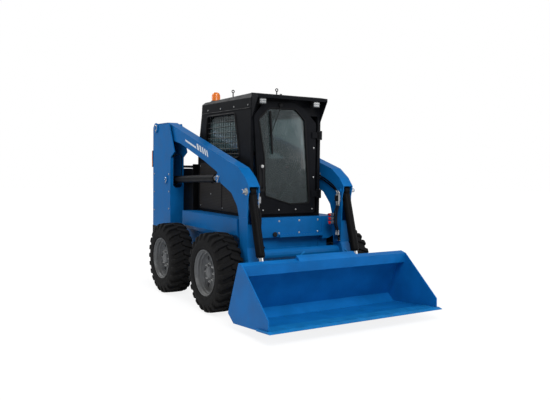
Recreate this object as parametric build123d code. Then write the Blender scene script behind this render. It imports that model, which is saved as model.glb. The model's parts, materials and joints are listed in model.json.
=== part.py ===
"""Skid steer loader with an enclosed cab, a radius-lift boom and a low-profile bucket.

Frame: millimetres, +Z up, the machine faces -Y, +X is the operator's left-hand side.
The origin is the centre of the bounding box's footprint, on the ground.
"""
from build123d import *
import math
import os

# ---------------------------------------------------------------- driving sizes
# Sides of the many-sided bodies that stand for round ones
WHEEL_FACETS = 24
AXLE_FACETS = 16
HUB_FACETS = 12
BAR_FACETS = 12
SMALL_FACETS = 8
THIN_FACETS = 6

# Wheels and axles
AXLE_FRONT_Y = -330.0
WHEELBASE = 1100.0
TYRE_R = 385.0
TYRE_INNER_X = 618.0
TYRE_OUTER_X = 880.0
TREAD_DEPTH = 22.0
LUGS_PER_SIDE = 16
LUG_WIDTH = 46.0
LUG_ANGLE = 20.0
LUG_PAST_CENTRE = 12.0
RIM_R = 209.5
RIM_FLANGE_R = 222.5
RIM_WALL = 8.0
BEAD_CLEAR = 0.3
RIM_DISC_X = 772.0
RIM_DISC_T = 14.0
WINDOW_RING_R = 158.0
WINDOW_HOLE_R = 23.0
WINDOW_HOLES = 6
FLANGE_IN = 8.0
BEAD_IN = 26.0
HUB_STEP = 30.0
HUB_NOSE = 46.0
LUG_SHORT = 16.0
LUG_SINK = 11.0
LUG_SHOULDER = 42.0
SHOULDER_DROP = 48.0
SHOULDER_IN = 40.0
HOUSING_FLANGE_T = 14.0
HOUSING_FLANGE_OVER = 36.0
HOUSING_REACH = 60.0
HUB_R = 76.0
AXLE_R = 36.0
AXLE_CLEAR = 0.3

# Main frame
FRAME_FRONT_Y = -420.0
FRAME_REAR_Y = 1500.0
BELLY_Z = 205.0
PLATE_T = 12.0
CASE_OUTER_X = 500.0
CASE_INNER_X = 400.0
CASE_TOP_Z = 690.0
FENDER_OUTER_X = 600.0
FENDER_FRONT_Y = -476.0
FENDER_REAR_Y = 810.0
FENDER_BOTTOM_Z = 700.0
FENDER_TOP_Z = 900.0
NOSE_Y = -470.0
STEP_Y = -500.0
STEP_Z = 705.0
STEP_LEFT_X = -125.0
FLOOR_Z = 560.0
SHELF_Z = 860.0
SHELF_FRONT_Y = 330.0

# Rear towers
TOWER_OUTER_X = 635.0
TOWER_INNER_X = 482.0
TOWER_REAR_Y = 1620.0
TOWER_WALL_Y = 1075.0
TOWER_SILL_Z = 1555.0
TOWER_TOP_Z = 1885.0
TOWER_FOOT_Z = 670.0
ARCH_GAP = 62.0
SLOT_BOTTOM_Z = 1150.0
SLOT_TOP_Z = 1530.0
SLOT_WIDTH = 104.0
REAR_BUMPER_Z = 470.0
TOW_PIN_Y = 1600.0
TOW_PIN_Z = 570.0
TOW_PIN_R = 13.0
TOW_OVERALL = 100.0
TOW_PLATE_T = 16.0
TOW_HALF_W = 70.0
TOW_REACH = 40.0
HOOD_Z = 1400.0

# Cab
CAB_HALF_W = 415.0
CAB_FRONT_Y = -400.0
TOWER_FRONT_TOP_Y = 1127.0
TOWER_NOSE_Y = 968.0
TOWER_FLOOR_UP = 190.0
SLOT_END = 24.0
BUMPER_PAST_TOWER = 28.0
BUMPER_INSET = 5.0
BUMPER_DEPTH = 120.0
ENGINE_HALF_W = 300.0
ENGINE_FRONT_Y = 860.0
ENGINE_REAR_Y = 1440.0
ENGINE_TOP_Z = 1080.0
ENGINE_FOOT_TALL = 60.0
ENGINE_FOOT_W = 70.0
LOUVRE_PITCH = 60
LOUVRE_GAP = 32
LOUVRE_HALF_W = 300
TAIL_DOOR_T = 40.0
CAB_REAR_Y = 800.0
CAB_REAR_TOP_Y = 712.0
CAB_WAIST_Z = 1560.0
CAB_SILL_Z = FENDER_TOP_Z + 0.3
CAB_EAVES_Z = 1965.0
CAB_ROOF_Z = 2122.0
ROOF_REAR_Z = 2100.0
ROOF_PEAK_Y = -370.0
EYE_TOP_Z = 2208.0
CAB_WALL = 34.0
WINDOW_SILL_Z = 1490.0
WINDOW_TOP_Z = 1940.0
GLASS_T = 6.0
VISOR_FRONT_Y = -520.0
VISOR_TIP_Z = 2098.0
VISOR_HALF_W = 412.0
CHEEK_FOOT_Z = 1861.0
WORK_LAMP_X = {1: 250.0, -1: 300.0}
LAMP_FOOT_Z = 2006.0
LAMP_Y = (-498.0, -448.0)
LAMP_WIDE = 80.0
TAIL_LAMP_Z = (1380.0, 1580.0)
TAIL_LAMP_T = 31.0
BEACON_XY = (-300.0, 590.0)
BEACON_FOOT_R = 58.0
BEACON_R = 48.0
BEACON_TALL = 96.0
EYE_XY = ((-300.0, 190.0), (300.0, 190.0), (0.0, -200.0))
EYE_RING_R = 18.0
EYE_HOLE_R = 10.0
EYE_STEM_R = 7.0
VISOR_LIP = 32.0
VISOR_LIP_T = 12.0
VISOR_T = 9.0
ROOF_EDGE = 50.0
ROOF_CHAMFER = 36.0
WINDOW_SILL_Y = (-185.0, 640.0)
WINDOW_TOP_Y = (-75.0, 560.0)
WINDOW_CORNER_R = 40.0
REAR_WINDOW_Z = (1580.0, 1910.0)
REAR_WINDOW_HALF_W = 290.0
PANE_OVERLAP = 15.0
DOOR_GAP = 6.0
DOOR_T = 26.0
DOOR_CORNER_R = 30.0
PANE_CORNER_R = 25.0
GLASS_IN = 10.0
SEAT_HALF_W = 240.0
SEAT_BASE_UP = 110.0
SEAT_UP = 210.0
SEAT_BACK_UP = 640.0
SEAT_GAP = 0.6
STICK_LONG = 170.0
GRIP_LONG = 100.0

# Front door's outline and pane: x, z
DOOR_OUTLINE = [(-330, 935), (335, 935), (335, 1850), (190, 1990), (60, 2044), (-285, 2040), (-396, 1895)]
PANE_OUTLINE = [
    (-264, 1115), (40, 1025), (264, 1035), (197, 1874), (77, 1985), (-228, 1977), (-346, 1864), (-278, 1500),
]

# Boom and its linkage
ARM_CENTRE_X = 547.0
ARM_WIDTH = 118.0
ARM_PLATE = 10.0
PIVOT = (1510.0, 1850.0)
LIFT_BASE = (1200.0, 1238.0)
LIFT_PIN = (-73.0, 1281.0)
KNEE_PIN = (-665.0, 1171.0)
COUPLER_PIN = (-780.0, 222.0)
TILT_PIN = (-896.0, 385.0)
PIN_R = 19.0
PIN_CLEAR = 0.3
LIFT_BARREL_R = 41.0
LIFT_ROD_R = 22.0
TILT_BARREL_R = 43.0
TILT_ROD_R = 24.0
EYE_WIDTH = 56.0
EYE_GAP = 0.5
PIVOT_PIN_R = 23.0
HOSE_R = 9.0
HOSE_Y = (-660.0, -628.0)
HOSE_BOW = 32.0
FITTING_GAP = 0.3
FITTING_T = 34.0
FITTING_TALL = 60.0
QUICK_Y = -575.0
QUICK_Z = (840.0, 880.0, 920.0)
QUICK_BASE_T = 20.0
QUICK_R = 16.0
CROSS_TUBE = (-610.0, 560.0)
CROSS_TUBE_R = 52.0
HOSE_FOOT_Z = 720.0
LIFT_BOSS_R = 46.0
LIFT_STROKE_GAP = 30.0
TILT_STROKE_GAP = 200.0
LIFT_BARREL_LONG = 1130.0
TILT_BARREL_LONG = 625.0

# Door, hood and tail door hinges
HINGE_R = 10.0
HINGE_PIN_R = 5.0
HINGE_LONG = 60.0
HINGE_GAP = 0.5
EAR_LONG = 15.5
LEAF_LONG = 90.0
CAB_HINGE = (353.0, -438.0)
CAB_HINGE_Z = (1130.0, 1730.0)
TAIL_HINGE = (-456.0, 1627.0)
TAIL_HINGE_Z = (820.0, 1230.0)
HOOD_HINGE = (838.0, 1411.0)
HOOD_HINGE_X = (-260.0, 260.0)

# Bucket
BUCKET_HALF_W = 921.0
EDGE_HALF_W = 937.0
BUCKET_WALL = 8.0
EDGE_T = 18.0
EDGE_BACK_Y = -1440.0
EDGE_TOP_Z = 104.7
CHEEK_T = 10.0
CHEEK_NOSE = (-1597.0, 198.0)
LIP_TOP = (-1172.0, 570.0)
LIP_FOOT = (-1160.0, 479.0)
COUPLER_HALF_W = 610.0
COUPLER_T = 16.0
EAR_T = 13.0
ARM_GAP = 7.0
COUPLER_GAP = 0.3
COUPLER_ALONG = (20.0, 450.0)
EAR_REACH = 45.0
LATCH_X = 288.0
LATCH_T = 22.3
LEVER_R = 8.0
CREST_X = (-345.0, 300.0)
HEEL_FRONT = (-1024.0, 56.0)
FLOOR_FRONT_Z = 86.0
CHEEK_FOOT_Y = -1600.0
EDGE_TIP_Y = -1651.0
EDGE_GAP = 0.3
BUCKET_HEEL = (-921.0, 127.0)
BUCKET_CREST = (-1104.0, 588.0)

# ---------------------------------------------------------------- places worked out
AXLE_Z = TYRE_R
AXLE_REAR_Y = AXLE_FRONT_Y + WHEELBASE
AXLES = (("front", AXLE_FRONT_Y), ("rear", AXLE_REAR_Y))
SIDES = (("left", 1), ("right", -1))
ARM_IN = ARM_CENTRE_X - ARM_WIDTH / 2
ARM_OUT = ARM_CENTRE_X + ARM_WIDTH / 2


# ---------------------------------------------------------------- helpers
def block(x0, x1, y0, y1, z0, z1):
    """A box given by its limits along each axis."""
    return Pos(x0, y0, z0) * Box(x1 - x0, y1 - y0, z1 - z0, align=(Align.MIN,) * 3)


def side_profile(points, x0, x1, radii=0.0):
    """A plate whose outline lies in the Y-Z plane, from x0 to x1, corners rounded by radii."""
    path = FilletPolyline(*points, radius=radii, close=True) if radii else Polyline(*points, close=True)
    return extrude(Plane.YZ.offset(x0) * make_face(path), x1 - x0)


def front_profile(points, y0, y1, radii=0.0):
    """A plate whose outline lies in the X-Z plane, from y0 back to y1."""
    path = FilletPolyline(*points, radius=radii, close=True) if radii else Polyline(*points, close=True)
    plane = Plane(origin=(0, y1, 0), x_dir=(1, 0, 0), z_dir=(0, -1, 0))
    return extrude(plane * make_face(path), y1 - y0)


def bar_x(x0, x1, yz, radius):
    """A round bar along X."""
    return Plane(origin=(x0, yz[0], yz[1]), z_dir=(1, 0, 0)) * Cylinder(
        radius, x1 - x0, align=(Align.CENTER, Align.CENTER, Align.MIN)
    )


def prism_x(x0, x1, yz, radius, sides=BAR_FACETS):
    """A many-sided bar along X, its corners on the radius."""
    plane = Plane(origin=(x0, yz[0], yz[1]), z_dir=(1, 0, 0))
    return extrude(plane * RegularPolygon(radius, sides), x1 - x0)


def bar(start, end, radius, sides=BAR_FACETS):
    """A many-sided bar between two points, its corners on the radius."""
    a, b = Vector(*start), Vector(*end)
    return extrude(Plane(origin=a, z_dir=b - a) * RegularPolygon(radius, sides), (b - a).length)


def around(radius, sides=BAR_FACETS):
    """Corner radius of a many-sided bore whose flats stay this far from its centre."""
    return radius / math.cos(math.pi / sides)


def mirrored(shape, side):
    """The shape as drawn for +X, or mirrored to -X when side is -1."""
    return shape if side > 0 else mirror(shape, Plane.YZ)


def knuckle(plane, centre):
    """A hinge knuckle, bored for its pin, centred on the hinge line at this distance along it."""
    bore = around(HINGE_PIN_R + PIN_CLEAR, SMALL_FACETS)
    tube = extrude(RegularPolygon(HINGE_R, SMALL_FACETS) - RegularPolygon(bore, SMALL_FACETS), HINGE_LONG)
    return plane * (Pos(0, 0, centre - HINGE_LONG / 2) * tube)


def knuckle_bore(plane, centre):
    """The space inside a knuckle, cut from the leaf that runs up to it."""
    return plane * (Pos(0, 0, centre - HINGE_LONG / 2 - 1) * extrude(
        RegularPolygon(HINGE_R - 1, SMALL_FACETS), HINGE_LONG + 2))


def hinge_pin(plane, centre):
    """The pin through a knuckle, into the brackets at its two ends."""
    long = HINGE_LONG + 24
    return plane * (Pos(0, 0, centre - long / 2) * extrude(RegularPolygon(HINGE_PIN_R, SMALL_FACETS), long))


def save(name, *solids):
    """Writes the solids of one sub-part to its STEP file."""
    shape = solids[0] if len(solids) == 1 else Compound(children=list(solids))
    export_step(shape, f"parts/{name}.step")


# ---------------------------------------------------------------- wheels
def faceted_x(stations, facets=WHEEL_FACETS):
    """A many-sided turned body along X, from its (x, radius) stations."""
    rings = [
        Plane(origin=(x, 0, 0), x_dir=(0, 0, 1), z_dir=(1, 0, 0)) * RegularPolygon(radius, facets)
        for x, radius in stations
    ]
    return loft(rings, ruled=True)


def tread_lug(side, turn):
    """One slanting tread bar, from just past the tyre's centre line out over its shoulder."""
    half = (TYRE_OUTER_X - TYRE_INNER_X) / 2
    run = (half + LUG_PAST_CENTRE - LUG_SHORT) / math.cos(math.radians(LUG_ANGLE))
    sideways = run / 2 * math.sin(math.radians(LUG_ANGLE)) + LUG_WIDTH / 2
    top = math.sqrt(TYRE_R ** 2 - sideways ** 2) - 1
    root = TYRE_R - TREAD_DEPTH - LUG_SINK
    outline = [(0, root), (0, top), (run - 30, top), (run - 6, top - LUG_SHOULDER), (run - 40, root - 8)]
    lug = extrude(Plane.XZ.offset(-LUG_WIDTH / 2) * make_face(Polyline(*outline, close=True)), LUG_WIDTH)
    lug = Pos(half - LUG_PAST_CENTRE, 0, 0) * Rot(0, 0, -LUG_ANGLE) * Pos(0, sideways / 4, 0) * lug
    if side < 0:
        lug = mirror(lug, Plane.YZ.offset(half))
    return Rot(turn, 0, 0) * lug


def tyre():
    """Tyre along X from its inner side: a carcass with two staggered rows of tread lugs."""
    wide = TYRE_OUTER_X - TYRE_INNER_X
    body = TYRE_R - TREAD_DEPTH
    lip = (2, RIM_FLANGE_R + 14)
    bead = (BEAD_IN, RIM_R + BEAD_CLEAR)
    carcass = faceted_x([
        lip, (0, body - SHOULDER_DROP), (SHOULDER_IN, body), (wide - SHOULDER_IN, body),
        (wide, body - SHOULDER_DROP), (wide - lip[0], lip[1]),
    ])
    carcass -= faceted_x([lip, bead, (wide - bead[0], bead[1]), (wide - lip[0], lip[1])])
    step = 360 / LUGS_PER_SIDE
    lugs = [
        tread_lug(side, (k + shift) * step + step / 4)
        for side, shift in ((1, 0.0), (-1, 0.5)) for k in range(LUGS_PER_SIDE)
    ]
    return carcass + lugs


def rim():
    """Deep-dished rim with its disc, hub and stub axle, along X from the tyre's inner side."""
    wide = TYRE_OUTER_X - TYRE_INNER_X
    disc = RIM_DISC_X - TYRE_INNER_X
    inner_r = RIM_R - RIM_WALL
    shell = faceted_x([
        (FLANGE_IN, RIM_FLANGE_R), (BEAD_IN, RIM_R), (wide - BEAD_IN, RIM_R),
        (wide - FLANGE_IN, RIM_FLANGE_R),
    ])
    shell -= faceted_x([(FLANGE_IN, inner_r), (disc, inner_r)])
    shell -= faceted_x([
        (disc + RIM_DISC_T, inner_r - RIM_WALL), (wide - 22, inner_r), (wide - FLANGE_IN, RIM_FLANGE_R - 5),
    ])
    shell -= prism_x(disc - 1, disc + RIM_DISC_T + 1, (0, 0), HUB_R + HUB_STEP, HUB_FACETS)
    hub = faceted_x([
        (disc - 20, HUB_R + HUB_STEP), (disc + RIM_DISC_T, HUB_R + HUB_STEP + 3),
        (disc + RIM_DISC_T + 12, HUB_R - 8), (disc + RIM_DISC_T + HUB_NOSE, HUB_R - 20),
    ], HUB_FACETS)
    shaft = prism_x(CASE_OUTER_X + 2 - TYRE_INNER_X, disc - 20, (0, 0), AXLE_R, AXLE_FACETS)
    window = prism_x(disc - 1, disc + RIM_DISC_T + 1, (0, WINDOW_RING_R), WINDOW_HOLE_R, THIN_FACETS)
    windows = [Rot(turn, 0, 0) * window for turn in range(0, 360, 360 // WINDOW_HOLES)]
    return shell + hub + shaft - windows


def wheels():
    for end, y in AXLES:
        for name, side in SIDES:
            place = Pos(TYRE_INNER_X, y, AXLE_Z)
            save(f"tyre_{end}_{name}", mirrored(place * tyre(), side))
            save(f"rim_{end}_{name}", mirrored(place * rim(), side))


def axle_housings():
    """Bolted bearing housings on the chain cases, one for each wheel's stub axle."""
    housings = []
    bore = around(AXLE_R + AXLE_CLEAR, AXLE_FACETS)
    flange_r = HUB_R + HOUSING_FLANGE_OVER
    for _, y in AXLES:
        for _, side in SIDES:
            face = CASE_OUTER_X
            tube = faceted_x([
                (face, flange_r), (face + HOUSING_FLANGE_T, flange_r), (face + HOUSING_FLANGE_T + 6, HUB_R),
                (TYRE_INNER_X + HOUSING_REACH, HUB_R - 14),
            ], HUB_FACETS)
            tube -= prism_x(face - 1, TYRE_INNER_X + HOUSING_REACH + 1, (0, 0), bore, AXLE_FACETS)
            housings.append(mirrored(Pos(0, y, AXLE_Z) * tube, side))
    save("axle_housings", *housings)


# ---------------------------------------------------------------- main frame
def main_frame():
    """Welded tub: chain cases, belly plate, front panel, step and the fender boxes over the cases."""
    belly = block(-CASE_OUTER_X, CASE_OUTER_X, FRAME_FRONT_Y + 40, FRAME_REAR_Y, BELLY_Z, BELLY_Z + PLATE_T)
    cases = [
        mirrored(block(CASE_INNER_X, CASE_OUTER_X, FRAME_FRONT_Y, FRAME_REAR_Y, BELLY_Z, CASE_TOP_Z), side)
        for _, side in SIDES
    ]
    fender = [
        (CASE_INNER_X, CASE_TOP_Z - 20), (CASE_OUTER_X - 20, CASE_TOP_Z - 20),
        (FENDER_OUTER_X - 45, FENDER_BOTTOM_Z), (FENDER_OUTER_X, FENDER_BOTTOM_Z + 45),
        (FENDER_OUTER_X, FENDER_TOP_Z), (CASE_INNER_X, FENDER_TOP_Z),
    ]
    fenders = [mirrored(front_profile(fender, FENDER_FRONT_Y, FENDER_REAR_Y), side) for _, side in SIDES]
    nose = side_profile([
        (FRAME_FRONT_Y, BELLY_Z + 60), (FRAME_FRONT_Y + 60, BELLY_Z), (FRAME_FRONT_Y + 80, BELLY_Z),
        (FRAME_FRONT_Y + PLATE_T, BELLY_Z + 70), (FRAME_FRONT_Y + PLATE_T, FENDER_TOP_Z - PLATE_T),
        (FRAME_FRONT_Y + 60, FENDER_TOP_Z - PLATE_T), (FRAME_FRONT_Y + 60, FENDER_TOP_Z),
        (NOSE_Y, FENDER_TOP_Z), (NOSE_Y, STEP_Z), (FRAME_FRONT_Y, STEP_Z),
    ], -CASE_INNER_X, CASE_INNER_X)
    step = block(STEP_LEFT_X, CASE_INNER_X, STEP_Y, NOSE_Y, STEP_Z, STEP_Z + 24)
    half = CASE_INNER_X
    floor = block(-half, half, FRAME_FRONT_Y + PLATE_T, SHELF_FRONT_Y, FLOOR_Z, FLOOR_Z + PLATE_T)
    shelf = block(-half, half, SHELF_FRONT_Y, CAB_REAR_Y, SHELF_Z, SHELF_Z + PLATE_T)
    riser = block(-half, half, SHELF_FRONT_Y, SHELF_FRONT_Y + PLATE_T, FLOOR_Z, SHELF_Z)
    frame = belly + cases + fenders + nose + step + floor + shelf + riser
    save("main_frame", frame)


def rear_towers():
    """The two towers that carry the boom pivots and the lift cylinders' base pins."""
    towers = []
    arch_r = TYRE_R + ARCH_GAP
    for _, side in SIDES:
        outline = [
            (TOWER_REAR_Y, TOWER_FOOT_Z), (TOWER_REAR_Y, TOWER_TOP_Z - 25), (TOWER_REAR_Y - 30, TOWER_TOP_Z),
            (TOWER_FRONT_TOP_Y, TOWER_TOP_Z), (TOWER_NOSE_Y, TOWER_SILL_Z),
            (TOWER_WALL_Y, TOWER_SILL_Z - 60),
            (TOWER_WALL_Y, TOWER_FOOT_Z),
        ]
        arch = bar_x(0, TOWER_OUTER_X + 20, (AXLE_REAR_Y, AXLE_Z), arch_r)
        outer = side_profile(outline, TOWER_OUTER_X - PLATE_T, TOWER_OUTER_X) - arch
        inner = side_profile(outline, TOWER_INNER_X - PLATE_T, TOWER_INNER_X)
        inner -= block(0, TOWER_INNER_X + 1, 0, FRAME_REAR_Y + 0.3, BELLY_Z, CASE_TOP_Z)
        inner -= block(0, TOWER_INNER_X + 1, 0, TOWER_REAR_Y + 1, BELLY_Z, TOWER_FOOT_Z + 0.3)
        wall = block(TOWER_INNER_X, TOWER_OUTER_X - PLATE_T, TOWER_WALL_Y, TOWER_WALL_Y + PLATE_T,
                     CASE_TOP_Z, TOWER_SILL_Z - 60) - arch
        low, high = SLOT_BOTTOM_Z, SLOT_TOP_Z
        slot = front_profile([
            (ARM_CENTRE_X + across * SLOT_WIDTH / 2, z)
            for across, z in (
                (-0.5, low), (0.5, low), (1, low + SLOT_END), (1, high - SLOT_END),
                (0.5, high), (-0.5, high), (-1, high - SLOT_END), (-1, low + SLOT_END),
            )
        ], TOWER_WALL_Y - 5, TOWER_WALL_Y + PLATE_T + 5)
        rear = block(TOWER_INNER_X, TOWER_OUTER_X - PLATE_T, TOWER_REAR_Y - PLATE_T, TOWER_REAR_Y,
                     TOWER_FOOT_Z, TOWER_TOP_Z - 25)
        floor = block(TOWER_INNER_X, TOWER_OUTER_X - PLATE_T, TOWER_WALL_Y + PLATE_T, TOWER_REAR_Y - PLATE_T,
                      TOWER_FOOT_Z + TOWER_FLOOR_UP, TOWER_FOOT_Z + TOWER_FLOOR_UP + PLATE_T)
        pivot = prism_x(TOWER_INNER_X - PLATE_T, TOWER_OUTER_X + 24, PIVOT, PIVOT_PIN_R)
        base = prism_x(TOWER_INNER_X - PLATE_T, TOWER_OUTER_X + 18, LIFT_BASE, PIN_R)
        boss = prism_x(TOWER_OUTER_X, TOWER_OUTER_X + 10, LIFT_BASE, LIFT_BOSS_R)
        boss2 = prism_x(TOWER_OUTER_X, TOWER_OUTER_X + 14, PIVOT, LIFT_BOSS_R + 12, HUB_FACETS)
        tower = mirrored(outer + inner + (wall - slot) + rear + floor + pivot + base + boss + boss2, side)
        if side < 0:
            line = Plane(origin=(*TAIL_HINGE, 0))
            for z in TAIL_HINGE_Z:
                ears = block(-TOWER_INNER_X + PLATE_T, TAIL_HINGE[0] + HINGE_R, TOWER_REAR_Y - 20,
                             TAIL_HINGE[1] + HINGE_R, z - HINGE_LONG / 2 - 14, z + HINGE_LONG / 2 + 14)
                ears -= block(-TOWER_INNER_X, TAIL_HINGE[0] + 40, TOWER_REAR_Y - 60, TAIL_HINGE[1] + 40,
                              z - HINGE_LONG / 2 - HINGE_GAP, z + HINGE_LONG / 2 + HINGE_GAP)
                tower += ears + hinge_pin(line, z)
        towers.append(tower)
    save("rear_towers", *towers)


def rear_frame():
    """Rear bumper and counterweight across the frame's tail, with the tow bracket's two bored plates."""
    rear = TOWER_REAR_Y + BUMPER_PAST_TOWER
    half = TOWER_OUTER_X - BUMPER_INSET
    front = TOWER_REAR_Y - BUMPER_DEPTH
    under, over = REAR_BUMPER_Z - 1, TOWER_FOOT_Z + 1
    bumper = block(-half, half, front, rear, REAR_BUMPER_Z, TOWER_FOOT_Z)
    bumper -= block(-CASE_OUTER_X, CASE_OUTER_X, front - 1, FRAME_REAR_Y, under, over)
    bumper -= block(-TOW_HALF_W, TOW_HALF_W, TOW_PIN_Y - TOW_REACH, rear + 1, under, over)
    for z in (TOW_PIN_Z - TOW_OVERALL / 2, TOW_PIN_Z + TOW_OVERALL / 2 - TOW_PLATE_T):
        bumper += block(-TOW_HALF_W, TOW_HALF_W, TOW_PIN_Y - TOW_REACH, rear, z, z + TOW_PLATE_T)
    bumper -= Pos(0, TOW_PIN_Y, TOW_PIN_Z) * Cylinder(TOW_PIN_R, TOW_OVERALL + 2)
    save("rear_bumper", bumper)


def engine():
    base_z = BELLY_Z + PLATE_T
    block_z = base_z + ENGINE_FOOT_TALL
    half = ENGINE_HALF_W
    feet = [
        block(x, x + ENGINE_FOOT_W, y, y + ENGINE_FOOT_W, base_z, block_z)
        for x in (-half, half - ENGINE_FOOT_W) for y in (ENGINE_FRONT_Y + 20, ENGINE_REAR_Y - 90)
    ]
    save("engine_block", block(-half, half, ENGINE_FRONT_Y, ENGINE_REAR_Y, block_z, ENGINE_TOP_Z) + feet)


def hood():
    """Slatted lid over the engine, hinged at the cab's back, and the rear door below it."""
    front = HOOD_HINGE[0] - 3
    lid = block(-TOWER_INNER_X + 24, TOWER_INNER_X - 24, front, 1570, HOOD_Z - 24, HOOD_Z)
    for y in range(980, 1440, LOUVRE_PITCH):
        lid -= block(-LOUVRE_HALF_W, LOUVRE_HALF_W, y, y + LOUVRE_GAP, HOOD_Z - 30, HOOD_Z + 5)
    line = Plane(origin=(0, *HOOD_HINGE), z_dir=(1, 0, 0))
    for x in HOOD_HINGE_X:
        for x0, x1 in ((x - 48, x - HINGE_LONG / 2), (x + HINGE_LONG / 2, x + 48)):
            lid -= block(x0, x1, front - 1, HOOD_HINGE[0] + HINGE_R + 8, HOOD_Z - 30, HOOD_Z + 5)
        lid += block(x - HINGE_LONG / 2, x + HINGE_LONG / 2, front, front + 11, HOOD_Z, HOOD_HINGE[1] - 6.5)
        lid += knuckle(line, x)
    save("hood", lid)
    half = TOWER_INNER_X - 42
    inside = TOWER_REAR_Y - TAIL_DOOR_T
    door = block(-half, half, inside, TOWER_REAR_Y, TOWER_FOOT_Z + 10, HOOD_Z - 34)
    slit = LOUVRE_HALF_W - 20
    for z in range(800, 1280, LOUVRE_PITCH):
        door -= block(-slit, slit, inside - 10, TOWER_REAR_Y + 10, z, z + LOUVRE_GAP)
    line = Plane(origin=(*TAIL_HINGE, 0))
    for z in TAIL_HINGE_Z:
        leaf = block(TAIL_HINGE[0], TAIL_HINGE[0] + LEAF_LONG, TOWER_REAR_Y, TAIL_HINGE[1] + HINGE_R,
                     z - HINGE_LONG / 2, z + HINGE_LONG / 2)
        door += leaf - knuckle_bore(line, z)
        door += knuckle(line, z)
    save("rear_door", door)
    cowl = [
        mirrored(block(TOWER_INNER_X - 54, TOWER_INNER_X - PLATE_T, FENDER_REAR_Y + 2, TOWER_REAR_Y - 50,
                       CASE_TOP_Z, HOOD_Z - 34), side)
        for _, side in SIDES
    ]
    face = HOOD_HINGE[0] - 33
    half = TOWER_INNER_X - PLATE_T
    front = block(-half, half, face, face + 20, FENDER_TOP_Z, HOOD_Z + 20)
    front += block(-half, half, face, face + 50, FENDER_TOP_Z, FENDER_TOP_Z + 40)
    line = Plane(origin=(0, *HOOD_HINGE), z_dir=(1, 0, 0))
    for x in HOOD_HINGE_X:
        for x0 in (x - HINGE_LONG / 2 - HINGE_GAP - EAR_LONG, x + HINGE_LONG / 2 + HINGE_GAP):
            front += block(x0, x0 + EAR_LONG, face + 15, HOOD_HINGE[0] + HINGE_R, HOOD_Z - 4,
                           HOOD_HINGE[1] + HINGE_R)
        front += hinge_pin(line, x)
    save("engine_cowl", cowl[0] + cowl[1] + front)


# ---------------------------------------------------------------- cab
def cab_outline(inset):
    """The cab's side outline, drawn in by this much at its front, rear and slanting upper rear."""
    return [
        (CAB_FRONT_Y + inset, CAB_SILL_Z), (CAB_FRONT_Y + inset, CAB_EAVES_Z),
        (CAB_REAR_TOP_Y - inset, CAB_EAVES_Z), (CAB_REAR_Y - inset, CAB_WAIST_Z),
        (CAB_REAR_Y - inset, CAB_SILL_Z),
    ]


def side_window_outline(margin):
    """The side window's outline, larger than the daylight opening by this margin."""
    low, high = WINDOW_SILL_Z - margin, WINDOW_TOP_Z + margin
    return [
        (WINDOW_SILL_Y[0] - margin, low), (WINDOW_TOP_Y[0] - margin, high),
        (WINDOW_TOP_Y[1] + margin, high), (WINDOW_SILL_Y[1] + margin, low),
    ]


def cab_frame():
    """Hollow cab: side walls with window openings, front posts, rear wall, eaves and door hinges."""
    inner_w = CAB_HALF_W - CAB_WALL
    shell = side_profile(cab_outline(0), -CAB_HALF_W, CAB_HALF_W)
    shell -= side_profile(cab_outline(CAB_WALL), -inner_w, inner_w)
    over = CAB_EAVES_Z + 1
    shell -= block(-inner_w, inner_w, CAB_FRONT_Y - 1, CAB_REAR_TOP_Y - CAB_WALL, CAB_SILL_Z - 1, over)
    shell -= block(-inner_w, inner_w, CAB_FRONT_Y + 1, CAB_REAR_Y - CAB_WALL, CAB_SILL_Z - 1, CAB_SILL_Z + 1)
    shell -= side_profile(side_window_outline(0), -CAB_HALF_W - 5, CAB_HALF_W + 5, WINDOW_CORNER_R)
    low, high = REAR_WINDOW_Z
    half = REAR_WINDOW_HALF_W
    shell -= front_profile([(-half, low), (half, low), (half, high), (-half, high)],
                           CAB_REAR_TOP_Y - CAB_WALL - 5, CAB_REAR_Y + 5, WINDOW_CORNER_R)
    header = block(-inner_w, inner_w, CAB_FRONT_Y, CAB_FRONT_Y + CAB_WALL, CAB_EAVES_Z - 40, CAB_EAVES_Z)
    sill = block(-inner_w, inner_w, CAB_FRONT_Y, CAB_FRONT_Y + CAB_WALL, CAB_SILL_Z, CAB_SILL_Z + 30)
    shell += header + sill
    line = Plane(origin=(*CAB_HINGE, 0))
    for z in CAB_HINGE_Z:
        foot = z - HINGE_LONG / 2 - HINGE_GAP - EAR_LONG
        for z0 in (foot, z + HINGE_LONG / 2 + HINGE_GAP):
            shell += block(CAB_HINGE[0] - HINGE_R, CAB_HALF_W - 12, CAB_HINGE[1] - HINGE_R, CAB_FRONT_Y + 2,
                           z0, z0 + EAR_LONG)
        shell += block(CAB_HINGE[0] + HINGE_R + 6, CAB_HALF_W - 12, CAB_HINGE[1] - HINGE_R, CAB_FRONT_Y + 2,
                       foot, 2 * z - foot)
        shell += hinge_pin(line, z)
    save("cab_frame", shell)


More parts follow.
